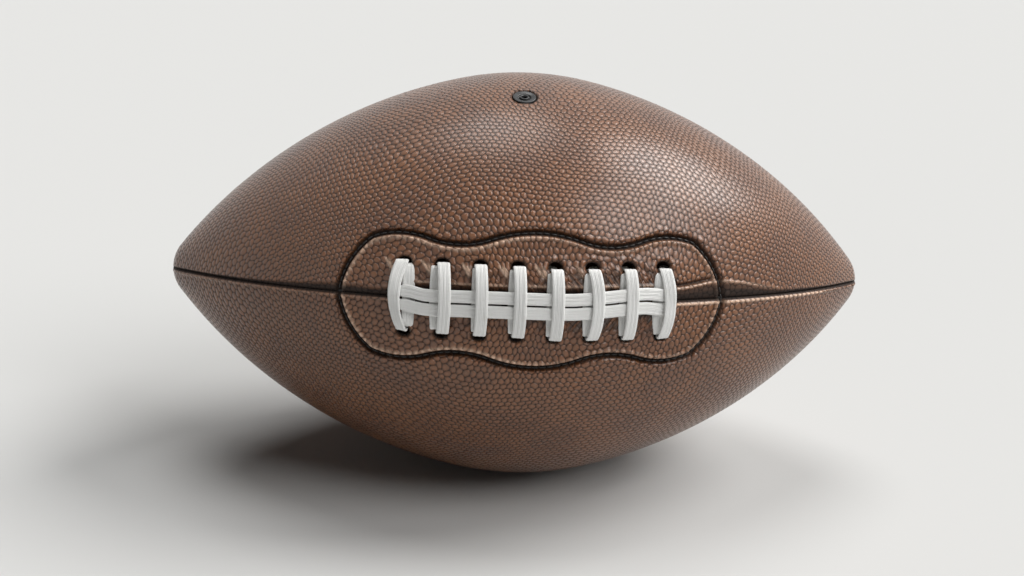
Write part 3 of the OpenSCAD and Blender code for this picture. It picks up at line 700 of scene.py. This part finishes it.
def lay_panel(name, front, upper):
    """A leather panel as a new object."""
    at = panel_points(front, upper)
    angle = at["s"] / at["radius"]
    angle = angle if front else math.pi - angle
    angle = angle if upper else -angle
    places = on_ball(at["x"], angle, at["lift"] - UNDER_SOLIDS)
    places[..., 2] = np.maximum(places[..., 2], 0)
    bm, column, row = numbered_grid(*at["x"].shape[::-1])
    # Per-point masks: painted shade, the drawn zone and painted highlight.
    layers = {k: bm.verts.layers.float.new(k) for k in ("painted_shade", "pull", "painted_highlight")}
    uv = bm.loops.layers.uv.new("hide")
    values = [at[k][row, column] for k in layers]
    for i, (vert, place) in enumerate(zip(bm.verts, places[row, column])):
        vert.co = place
        for layer, value in zip(layers.values(), values):
            vert[layer] = value[i]
    pattern = np.stack([at["u"], at["v"]], -1)[row, column] / HIDE_MAP + 0.5
    for face in bm.faces:
        for loop in face.loops:
            loop[uv].uv = pattern[loop.vert.index]
    flat = np.stack([at["x"], at["s"]], -1)[row, column]
    cut_holes(bm, holes_in(front, upper), flat, upper, layers)
    bmesh.ops.remove_doubles(bm, verts=bm.verts, dist=WELD)
    if front != upper:
        bmesh.ops.reverse_faces(bm, faces=bm.faces)
    turn_in(bm, layers["painted_shade"])
    return bm_object(bm, name)


panels = {}
for front, upper in ((True, True), (True, False), (False, True), (False, False)):
    where = ("upper" if upper else "lower") + ("_front" if front else "_back")
    panels[where] = lay_panel("panel_" + where, front, upper)
    print(where, len(panels[where].data.polygons), "faces")

# %% [markdown]
# ## Pebbled leather
# The pebbles are pressed into the hide by a roller while it's flat, so they follow the panel's
# own flat pattern on its UV map. They are packed like a honeycomb, 2.5 mm apart, in rows that
# wander: two interleaved grids give the squared distance to the nearest pebble, and a power of
# it is a dome with a flat top. The valleys lose shine and are darkened as painted shade. Beside
# the lace holes the hide is drawn into folds that run aslant, with painted shade in their hollows.

# %% Leather
PEBBLE = 2.5
ROW = PEBBLE * math.sqrt(3)
leather = Finish("leather")
hide = leather.node("UVMap", {"uv_map": "hide"})
flat_mm = leather.mapped(hide, (HIDE_MAP, HIDE_MAP, 1.0))


def wandering(vector, scale, reach):
    """Moves a vector about by up to half the reach, as the rows of pebbles wander."""
    noise_2d = leather.node("TexNoise", {"noise_dimensions": "2D"},
                            {"Vector": vector, "Scale": scale, "Detail": 0.0}, "Color")
    return leather.node("VectorMath", {"operation": "MULTIPLY_ADD"},
                        {0: noise_2d, 1: (reach, reach, 0.0), 2: vector})


def to_nearest(value, step):
    """Distance to the nearest multiple of the step."""
    return leather.node("Math", {"operation": "PINGPONG"}, {0: value, 1: step / 2})


places = wandering(wandering(flat_mm, 0.018, 16.0), 0.27, 1.25)
pebble_x, pebble_y = leather.split(places)
near_x, near_y = to_nearest(pebble_x, PEBBLE), to_nearest(pebble_y, ROW)
far_x, far_y = PEBBLE / 2 - near_x, ROW / 2 - near_y
apart = leather.node("Math", {"operation": "MINIMUM"},
                     {0: near_x * near_x + near_y * near_y, 1: far_x * far_x + far_y * far_y})
bead = 1 - leather.range(apart, 0.0, (0.58 * PEBBLE) ** 2, smooth=False) ** 1.6
# Painted shade, as laid on the panels' points.
painted_shade = leather.attribute("painted_shade")
pull = leather.attribute("pull")
blotch = leather.noise(flat_mm, 0.05, 3.0)
speck = leather.noise(flat_mm, 0.55, 1.0)
pores = leather.noise(flat_mm, 3.2, 2.0)
turned = leather.node("Mapping", {}, {"Vector": flat_mm, "Rotation": (0, 0, math.radians(53))})
drawn = leather.noise(leather.mapped(turned, (0.13, 0.5, 1.0)), 1.0, 2.0, 0.4)
folds = leather.range(drawn, 0.4, 0.6)
valley = (1 - leather.range(bead, 0.26, 0.84)) * (1 - pull * 0.4)
# Painted highlight, as laid on the panels' points.
painted_highlight = leather.attribute("painted_highlight")
body = leather.mix(leather.range(blotch, 0.35, 0.65), srgb(101, 58, 23), srgb(119, 71, 29))
body = leather.mix(leather.range(speck, 0.4, 0.7) * 0.25, body, srgb(150, 88, 46))
# Painted shade: the valleys between pebbles are darkened.
body = leather.mix(valley * 0.8, body, srgb(38, 19, 10))
# Painted shade: the hollows between the drawn folds are darkened.
body = leather.mix(pull * (1 - folds) * 0.8, body, srgb(26, 15, 11))
# Painted highlight: lips and creases lightened to a pale tan.
body = leather.mix(painted_highlight * 0.88, body, srgb(242, 204, 176))
# Painted shade: seams, groove, hole rims, the flank and the tuck darkened nearly to black.
body = leather.mix(painted_shade * 0.92, body, srgb(13, 9, 8))
height = (bead * (1 - pull * 0.35) + folds * pull * 1.9) * (1 - painted_shade) * (1 - painted_highlight * 0.6)
leather.set(
    base_color=body,
    roughness=0.28 + valley * 0.3 + pores * 0.06 + painted_shade * 0.4,
    normal=leather.bump(height, 0.001),
    specular_ior_level=0.42,
    coat_weight=bead * (1 - painted_shade) * 0.8,
    coat_roughness=0.32,
)
for where, panel in panels.items():
    panel.data.materials.append(leather.material)
    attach(panel, "root")
    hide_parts("cover_" + where)
print("leather on", len(panels), "panels")

# %% [markdown]
# ## The lace
# One flat lace of about 1.1 m runs the whole way. It crosses the seam at each pair of holes, goes
# along the seam and back, and then crosses over itself at every pair again. The same stations
# that shaped its solid are worked out here, in the same steps. Each station is a place along the
# ball, an arc from the seam, a lift, a flatness and a direction of its width. The lists hold what
# differs from rung to rung.

# %% Sizes of the lace
LACE_W, LACE_T, BUNCH_R = 4.7, 1.0, 0.95
LACE_GAP, HOLE_GAP, LONG_ARC, LAYER_GAP = 0.45, 0.7, 2.6, 0.2
DIVE, FACING_UNDER = 3.8, 5.2
HOP = FACING_UNDER + LAYER_GAP + BUNCH_R
PASS = LACE_T + LACE_GAP
UNDER_ARC, OVER_ARC = 11.6, 12.95
UNDER_LIFT = LAYER_GAP / 2 + LACE_T / 2
LONG_LIFT = UNDER_LIFT + PASS
OVER_LIFT = LONG_LIFT + PASS
B = BUNCH_R
RUNG_SHIFTS = [0.7, 0.35, 0.2, 0.0, -0.9, -0.8, -0.9, -0.9]
UNDER_BOWS = [0.1, -0.1, -0.05, -0.1, -0.05, -0.1, -0.1, -0.2]
OVER_BOWS = [-0.66, 0.1, 0.1, 0.1, 0.12, 0.4, 0.22, 0.42]
UNDER_SIDES = [0.27, -0.36, -0.1, -0.16, -0.14, -0.16, -0.16, -0.2]
OVER_SIDES = [-0.14, 0.12, 0.05, 0.1, 0.1, 0.1, 0.1, 0.1]
OVER_RISES = [0.1, -0.4, -0.3, -0.4, -0.3, -0.5, -0.5, 0.5]
OVER_TWISTS = [0.7, 0.15, 0.1, 0.15, 0.1, -0.2, -0.2, -0.35]
FLAT = [0] * RUNGS

under_half = [
    (UNDER_ARC, -DIVE, 0.6), (UNDER_ARC, -1.5 * B, 1), (UNDER_ARC, -0.55 * B, 1),
    (UNDER_ARC - 0.4 * B, 0.4 * B, 1), (UNDER_ARC - 1.4 * B, 1.15 * UNDER_LIFT, 1),
    (UNDER_ARC / 2, UNDER_LIFT, 1),
]
over_half = [
    (OVER_ARC, -DIVE, 0.6), (OVER_ARC, -1.5 * B, 1), (OVER_ARC, 0.1 * B, 1),
    (OVER_ARC - 0.3 * B, 1.2 * B, 1), (OVER_ARC - 1.5 * B, 1.9 * B, 1),
    (OVER_ARC - 4.4 * B, LONG_LIFT + 0.65 * B, 1),
    (LONG_ARC + 0.65 * LACE_W, OVER_LIFT - 0.2 * B, 1),
]
print("the lace hops %.2f mm deep and crosses %.2f mm high" % (HOP, OVER_LIFT))

# %% [markdown]
# ## Crossing the seam
# One function makes every crossing: it rises out of a hole, arches over the seam and dives into
# the other one. Inside the ball, a foot at the bottom of each dive turns it to the next pair.


# %% Crossings
def crossing(i, half, top, bows, sides, rises=FLAT, twists=FLAT):
    """The stations of one crossing of the seam with its two dives."""
    travel = 1 if i % 2 == 0 else -1
    last = len(half) - 1
    stations = []
    for k in range(2 * last + 3):
        mirrored = k if k <= last else 2 * last + 2 - k
        middle = k == last + 1
        arc, lift, flat = (0, top, 1) if middle else half[mirrored]
        rise = rises[i] * LACE_GAP if middle or mirrored == last else 0
        side = -travel if k <= last else travel
        bow = bows[i] * LACE_W * (1 - (arc / half[0][0]) ** 2)
        bow += sides[i] * LACE_W * float(np.clip((lift + DIVE) / DIVE, 0, 1))
        arc = side * arc + RUNG_SHIFTS[i]
        twist = travel * twists[i] * float(smooth(-arc, -4, 3))
        stations.append((rung_places[i] + bow, arc, lift + rise, flat, (travel, 0, twist)))
    return stations


def foot(i, arc, way, travel, leaving):
    """The bend at the bottom of a dive, inside the ball."""
    sign = 1 if leaving else -1
    return [
        (rung_places[i] + sign * way * (0.35 + 1.45 * k) * B, arc, -HOP + (1 - k) * 0.8 * B, 0,
         (sign * (1 - k) * travel, 0, way * travel * sign))
        for k in ((0, 1) if leaving else (1, 0))
    ]


def under_pass(i):
    travel = 1 if i % 2 == 0 else -1
    first = foot(i, -travel * UNDER_ARC, 1, travel, False) if i > 0 else []
    return (first + crossing(i, under_half, UNDER_LIFT, UNDER_BOWS, UNDER_SIDES)
            + foot(i, travel * UNDER_ARC, 1, travel, True))


def over_pass(i):
    travel = 1 if i % 2 == 0 else -1
    return (foot(i, -travel * OVER_ARC, -1, travel, False)
            + crossing(i, over_half, OVER_LIFT, OVER_BOWS, OVER_SIDES, OVER_RISES, OVER_TWISTS)
            + foot(i, travel * OVER_ARC, -1, travel, True))


print("stations in a crossing:", len(under_pass(1)), "under and", len(over_pass(1)), "over")

# %% [markdown]
# ## Along the seam, and the two tails
# Between its two rows of crossings the lace runs along the seam and back. It comes up through the
# round at each end of the slot, and both of its tails are tucked away inside.

# %% Long laces and tails
LONG_IN = B + HOLE_GAP / 2


def long_end(side, arc_side, width):
    """Where a long lace comes up through the round at one end of the slot."""
    steps = (
        (SLOT_HALF, LONG_IN, -DIVE, 0),
        (SLOT_HALF, 1.02 * LONG_IN, -B, 0),
        (SLOT_HALF - 0.35 * B, 0.62 * LONG_IN + 0.38 * LONG_ARC, 0.7 * B, 0.35),
        (SLOT_HALF - 1.3 * B, 0.25 * LONG_IN + 0.75 * LONG_ARC, LONG_LIFT, 0.7),
        (SLOT_HALF - 3.4 * B, LONG_ARC, LONG_LIFT, 1),
    )
    return [(side * x, arc_side * arc, lift, flat, width) for x, arc, lift, flat in steps]


def long_pass(way, arc_side, width):
    between = (rung_places[1:] + rung_places[:-1]) / 2
    drift = np.interp(between, (-42, -14, 14, 42), (-1.1, -0.9, -1.2, 0.7))
    middle = [(x, arc_side * LONG_ARC + d, LONG_LIFT, 1, width)
              for x, d in zip(between[::way], drift[::way])]
    return long_end(-way, arc_side, width) + middle + long_end(way, arc_side, width)[::-1]


END, TOP = rung_places[-1], SLOT_HALF
start_tail = [
    (-END + 10 * B, -UNDER_ARC + 3.6 * B, -HOP, 0, (0, 0, 1)),
    (-END + 5 * B, -UNDER_ARC + 1.6 * B, -HOP, 0, (0, 0, 1)),
    (-END + 1.8 * B, -UNDER_ARC + 0.2 * B, -HOP, 0, (0, 0, 1)),
    (-END + 0.3 * B, -UNDER_ARC, -HOP + 0.8 * B, 0, (1, 0, 1)),
]
to_long = [
    (TOP + 0.4 * B, -UNDER_ARC + 2.3 * B, -HOP, 0, (0, 0, -1)),
    (TOP + 0.2 * B, -LONG_IN - 2 * B, -HOP, 0, (0, 0, -1)),
    (TOP, -LONG_IN - 0.4 * B, -HOP + 0.8 * B, 0, (0, 1, -1)),
]
u_turn = [
    (-TOP, -0.75 * LONG_IN, -HOP + 0.5 * B, 0, (0, 1, 1)),
    (-TOP, 0, -HOP, 0, (0, 0, 1)),
    (-TOP, 0.75 * LONG_IN, -HOP + 0.5 * B, 0, (0, -1, 1)),
]
to_over = [
    (TOP, LONG_IN + 0.4 * B, -HOP + 0.8 * B, 0, (0, -1, -1)),
    (TOP + 0.4 * B, LONG_IN + 2 * B, -HOP, 0, (0, 0, -1)),
    (TOP + 1.3 * B, OVER_ARC - 3.6 * B, -HOP, 0, (0, 0, -1)),
    (TOP + 0.6 * B, OVER_ARC - 0.6 * B, -HOP, 0, (0, 0, -1)),
]
end_tail = [
    (-TOP - 1.6 * B, OVER_ARC - 1.7 * B, -HOP, 0, (0, 0, -1)),
    (-TOP - 2.3 * B, OVER_ARC - 5.2 * B, -HOP, 0, (0, 0, -1)),
]
route = start_tail + [s for i in range(RUNGS) for s in under_pass(i)] + to_long
route += long_pass(-1, -1, (0, 1, 0)) + u_turn + long_pass(1, 1, (0, -1, 0)) + to_over
route += [s for i in reversed(range(RUNGS)) for s in over_pass(i)] + end_tail
print("stations of the lace:", len(route))

# %% [markdown]
# ## A smooth curve through the stations
# A Hermite curve passes through every station with the slope that its neighbours give, so the
# lace bends without kinks. Its section is round where it's bunched in a hole, and elsewhere flat
# with rolled edges and low ribs.


# %% Curve and section of the lace
def lace_frames(steps=3):
    """Places, width directions and flatness along the lace, in mm with the laces on top."""
    x, arc, lift, flat = (np.array([s[k] for s in route], float) for k in range(4))
    wide = np.array([s[4] for s in route], float)
    radius = outline(x)[0]
    angle = arc / radius
    sine, cosine = np.sin(angle), np.cos(angle)
    places = np.stack([x, (radius + lift) * sine, (radius + lift) * cosine], -1)
    wide = np.stack([wide[:, 0], wide[:, 1] * cosine + wide[:, 2] * sine,
                     -wide[:, 1] * sine + wide[:, 2] * cosine], -1)
    along = np.r_[0, np.cumsum(np.linalg.norm(np.diff(places, axis=0), axis=1))]
    slope = np.gradient(places, along, axis=0)
    fine = np.concatenate([np.linspace(a, b, steps, endpoint=False)
                           for a, b in zip(along[:-1], along[1:])] + [along[-1:]])
    k = np.clip(np.searchsorted(along, fine, "right") - 1, 0, len(along) - 2)
    gap = (along[k + 1] - along[k])[:, None]
    t = (fine - along[k])[:, None] / gap
    curve = ((2 * t ** 3 - 3 * t ** 2 + 1) * places[k] + (t ** 3 - 2 * t ** 2 + t) * gap * slope[k]
             + (3 * t ** 2 - 2 * t ** 3) * places[k + 1] + (t ** 3 - t ** 2) * gap * slope[k + 1])
    wide = wide[k] * (1 - t) + wide[k + 1] * t
    flat = np.interp(fine, along, flat)
    ahead = np.gradient(curve, axis=0)
    ahead /= np.linalg.norm(ahead, axis=1)[:, None]
    wide -= (wide * ahead).sum(1)[:, None] * ahead
    wide /= np.linalg.norm(wide, axis=1)[:, None]
    return curve, wide, np.cross(ahead, wide), flat, fine


def lace_section(flat, across=33):
    """Closed section at one place: round where it's bunched, flat with rolled edges elsewhere."""
    q = np.linspace(0.97, -0.97, across)
    ribs = 1 - 0.14 * (0.5 - 0.5 * np.cos(3 * math.pi * q)) - 0.09 * np.cos(8 * math.pi * q)
    height = (1 - np.abs(q) ** 7) ** 0.5 * ribs
    q = np.r_[1, q, -1, q[::-1]]
    height = np.r_[0, height, 0, -height[::-1]]
    a = np.linspace(0, 2 * math.pi, len(q), endpoint=False)
    w, t = LACE_W / 2, LACE_T / 2
    flat_shape = np.stack([w * q, t * height])
    return (1 - flat) * B * np.stack([np.cos(a), np.sin(a)]) + flat * flat_shape


print("the lace is %.0f mm long" % lace_frames()[4][-1])

# %% [markdown]
# ## Building the lace
# The lace is another grid: its columns are the places along the curve, and its rows go round the
# section. The first and the last row are welded, and the two ends are closed.

# %% Building the lace
WEAVE_MAP, FINE_WELD = 1200.0, 1e-7


def weave_lace(name):
    curve, wide, out, flat, along = lace_frames()
    rings = len(curve)
    sections = [lace_section(f) for f in flat]
    count = len(sections[0][0])
    q = np.array([s[0] for s in sections])[..., None]
    p = np.array([s[1] for s in sections])[..., None]
    places = curve[:, None] + q * wide[:, None] + p * out[:, None]
    places = at_rest(places[..., 0], places[..., 1], places[..., 2])
    bm, ring, corner = numbered_grid(rings, count + 1)
    uv = bm.loops.layers.uv.new("weave")
    loop_of = np.c_[lace_section(1.0), lace_section(1.0)[:, :1]]
    around = np.r_[0, np.cumsum(np.linalg.norm(np.diff(loop_of, axis=1), axis=0))]
    for face in bm.faces:
        for loop in face.loops:
            i = loop.vert.index
            loop[uv].uv = (along[ring[i]] / WEAVE_MAP, around[corner[i]] / WEAVE_MAP)
    for vert, place in zip(bm.verts, places[ring, corner % count]):
        vert.co = place
    bmesh.ops.remove_doubles(bm, verts=bm.verts, dist=FINE_WELD)
    bmesh.ops.holes_fill(bm, edges=[e for e in bm.edges if e.is_boundary], sides=0)
    bmesh.ops.recalc_face_normals(bm, faces=bm.faces)
    return bm_object(bm, name)


lace = weave_lace("flat_lace")
print("lace", len(lace.data.polygons), "faces")

# %% [markdown]
# ## Woven cotton
# The lace is white cotton with a slight gloss. Threads run along it and others cross them, so two
# sine waves on its UV map make the weave, and the crossing one is shifted from thread to thread.
# A soft noise adds a little soil.

# %% Lace material
WARP_PITCH, WEFT_PITCH, WEFT_SHIFT = 0.42, 0.5, 1.2
cotton = Finish("lace")
weave_uv = cotton.node("UVMap", {"uv_map": "weave"})
weave_mm = cotton.mapped(weave_uv, (WEAVE_MAP, WEAVE_MAP, 1.0))
run_mm, across_mm = cotton.split(weave_mm)
warp = cotton.node("Math", {"operation": "SINE"}, {0: across_mm * (2 * math.pi / WARP_PITCH)})
side = cotton.node("Math", {"operation": "SIGN"}, {0: warp})
weft = cotton.node("Math", {"operation": "SINE"},
                   {0: run_mm * (2 * math.pi / WEFT_PITCH) + side * WEFT_SHIFT})
thread_height = warp * 0.35 + weft * 0.22 * (0.6 + warp * 0.4) + 0.5
soil = cotton.noise(weave_mm, 0.25, 4.0)
# Painted shade: the hollows of the weave are a little darker than the tops of the threads.
white = cotton.mix(cotton.range(thread_height, 0.0, 0.9), srgb(228, 229, 227), srgb(253, 253, 251))
white = cotton.mix(cotton.range(soil, 0.55, 0.8) * 0.25, white, srgb(190, 186, 178))
cotton.set(
    base_color=white,
    roughness=0.62 - thread_height * 0.12,
    normal=cotton.bump(thread_height, 0.00012),
    sheen_weight=0.15,
    sheen_roughness=0.4,
)
lace.data.materials.append(cotton.material)
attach(lace, "root")
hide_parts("lace")
print("threads across the lace: %.0f" % (LACE_W / WARP_PITCH))

# %% [markdown]
# ## The valve
# The valve is moulded rubber: a round head that sits just under the leather, a raised ring round
# the needle's hole, and a barrel that reaches into the bladder. It has one axis, so its half
# section is spun round it.


# %% Valve head and barrel
def valve_axis():
    """The valve's place and its outward direction."""
    low, high = (Vector(on_ball(np.array(VALVE_X), VALVE_TURN, lift)) for lift in (0.0, 10.0))
    radial = Vector((0, (high - low).y, (high - low).z)).normalized()
    return low, radial


# Half of the valve's section: radius, and height over the leather.
valve_section = [
    (1.0, -16.0), (1.0, -1.4), (1.04, -0.9), (1.15, -0.5), (1.32, -0.2), (1.52, -0.1),
    (1.74, -0.14), (1.88, -0.32), (1.95, -0.7), (2.0, -1.15), (2.5, -1.15), (2.56, -0.8),
    (2.66, -0.55), (2.85, -0.42), (3.3, -0.34), (3.75, -0.26), (4.0, -0.17), (4.25, -0.12),
    (4.48, -0.2), (4.61, -0.42), (4.65, -0.75), (4.65, -1.75), (4.5, -1.9), (3.8, -1.9),
    (3.8, -15.7), (3.6, -16.0), (1.0, -16.0),
]


def spin_valve(name, segments=72):
    bm = bmesh.new()
    verts = [bm.verts.new((r * MM, 0, z * MM)) for r, z in valve_section[:-1]]
    edges = [bm.edges.new((a, b)) for a, b in zip(verts, verts[1:] + verts[:1])]
    bmesh.ops.spin(bm, geom=verts + edges, cent=(0, 0, 0), axis=(0, 0, 1), dvec=(0, 0, 0),
                   angle=2 * math.pi, steps=segments, use_merge=True)
    bmesh.ops.remove_doubles(bm, verts=bm.verts, dist=FINE_WELD)
    bmesh.ops.recalc_face_normals(bm, faces=bm.faces)
    place, out = valve_axis()
    bm.transform(Matrix.Translation(place) @ out.to_track_quat("Z", "X").to_matrix().to_4x4())
    return bm_object(bm, name)


valve = spin_valve("valve_head")
rubber = Finish("valve_rubber")
where_m = rubber.node("TexCoord", out="Object")
speckle = rubber.noise(where_m, 3000.0, 3.0)
haze = rubber.noise(where_m, 350.0, 4.0)
rubber.set(
    base_color=rubber.mix(rubber.range(haze, 0.4, 0.7), srgb(22, 22, 24), srgb(42, 42, 43)),
    roughness=rubber.range(haze, 0.3, 0.75, 0.26, 0.5),
    normal=rubber.bump(speckle, 0.00004),
)
valve.data.materials.append(rubber.material)
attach(valve, "root")
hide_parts("valve_body")
print("valve", len(valve.data.polygons), "faces")

# %% [markdown]
# ## Stitches in the groove
# The thread of the facing shows as short stitches at the bottom of the groove. Each is a bead
# with its ends sunk into the leather, repeated every 2.8 mm, so it has only a few dozen faces.
# Waxed thread is nearly plain, so one noise varies its colour, roughness and relief.

# %% Stitches
STITCH_HALF, STITCH_R, STITCH_DEPTH = 1.25, 0.36, 1.3


def sew(name, upper):
    stops = even_run(sewn, STITCH_PITCH)
    ahead = np.gradient(stops, axis=0)
    bm = bmesh.new()
    sign = 1 if upper else -1
    for (x, h), (dx, dh) in zip(stops, ahead):
        angle = math.asin(h / outline(x)[0])
        here = Vector(on_ball(x, sign * angle, -STITCH_DEPTH))
        step = 0.2 / math.hypot(dx, dh)
        next_x, next_h = x + dx * step, h + dh * step
        there = on_ball(next_x, sign * math.asin(next_h / outline(next_x)[0]), -STITCH_DEPTH)
        out = Vector(on_ball(x, sign * angle, 5.0)) - here
        way = (Vector(there) - here).normalized()
        out = (out - out.dot(way) * way).normalized()
        turned = Matrix((way, out.cross(way), out)).transposed().to_4x4()
        size = Matrix.Diagonal((STITCH_HALF * MM, STITCH_R * MM, STITCH_R * MM, 1))
        bmesh.ops.create_uvsphere(bm, u_segments=8, v_segments=5, radius=1,
                                  matrix=Matrix.Translation(here) @ turned @ size)
    return bm_object(bm, name)


def plain_finish(name, scale, detail, deep, pale, sleek, dull, relief=0.0001):
    """A finish whose colour, roughness and relief all follow one soft noise."""
    finish = Finish(name)
    grain = finish.noise(finish.node("TexCoord", out="Object"), scale, detail)
    finish.set(
        base_color=finish.mix(grain, srgb(*deep), srgb(*pale)),
        roughness=finish.range(grain, 0.3, 0.7, sleek, dull),
        normal=finish.bump(grain, relief),
    )
    return finish


thread = plain_finish("thread", 2600.0, 2.0, (12, 11, 11), (34, 29, 27), 0.4, 0.65)
for where in ("upper", "lower"):
    stitches = sew("stitches_" + where, where == "upper")
    stitches.data.materials.append(thread.material)
    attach(stitches, "root")
    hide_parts("facing_thread_" + where)
print("stitches on each side:", len(even_run(sewn, STITCH_PITCH)))

# %% [markdown]
# ## What lies under the leather
# The linings, bladder, boot, plug, facings, tongue and seam threads keep their solids: they are
# hidden, and their shapes are plain sheets. Each still gets its own finish, for whoever opens
# the ball.

# %% Cloth, bladder and backing
lining = Finish("lining")
lining_m = lining.node("TexCoord", out="Object")
fine_weave = lining.node("TexWave", {"wave_type": "BANDS", "bands_direction": "X"},
                         {"Vector": lining_m, "Scale": 300.0, "Distortion": 1.5})
lining.set(
    base_color=lining.mix(fine_weave, srgb(214, 206, 188), srgb(232, 226, 210)),
    roughness=lining.range(fine_weave, 0.0, 1.0, 0.8, 0.92),
    normal=lining.bump(fine_weave, 0.0001),
)
bladder = plain_finish("bladder_rubber", 60.0, 5.0, (50, 50, 53), (70, 70, 72), 0.5, 0.7)
plug = plain_finish("plug_rubber", 900.0, 3.0, (160, 138, 108), (184, 164, 130), 0.55, 0.75)
backing = plain_finish("facing", 700.0, 5.0, (70, 46, 34), (112, 80, 60), 0.75, 0.92, 0.0002)
under = {
    "lining_upper_front": lining, "lining_lower_front": lining,
    "lining_upper_back": lining, "lining_lower_back": lining,
    "bladder": bladder, "valve_boot": bladder, "valve_plug": plug,
    "lace_facing_upper": backing, "lace_facing_lower": backing, "lace_tongue": backing,
    "seam_thread_front": thread, "seam_thread_top": thread,
    "seam_thread_back": thread, "seam_thread_bottom": thread,
}
for name, finish in under.items():
    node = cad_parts[name]
    node.data.materials.clear()
    node.data.materials.append(finish.material)
print("finished", len(under), "hidden pieces")

# %% [markdown]
# ## The table
# A plain pale table takes the shadow. It is wide enough to fill the view, and its colour comes
# out nearly white under these lamps, like a sweep of paper.

# %% Table
TABLE_R = 8.0
bm = bmesh.new()
bmesh.ops.create_circle(bm, cap_ends=True, segments=96, radius=TABLE_R)
table = bm_object(bm, "table")
table.data.polygons.foreach_set("use_smooth", [False] * len(table.data.polygons))
pale = Finish("table")
pale.set(base_color=(0.64, 0.645, 0.64, 1), roughness=0.9, specular_ior_level=0.1)
table.data.materials.append(pale.material)
print("the table is", 2 * TABLE_R, "m across")
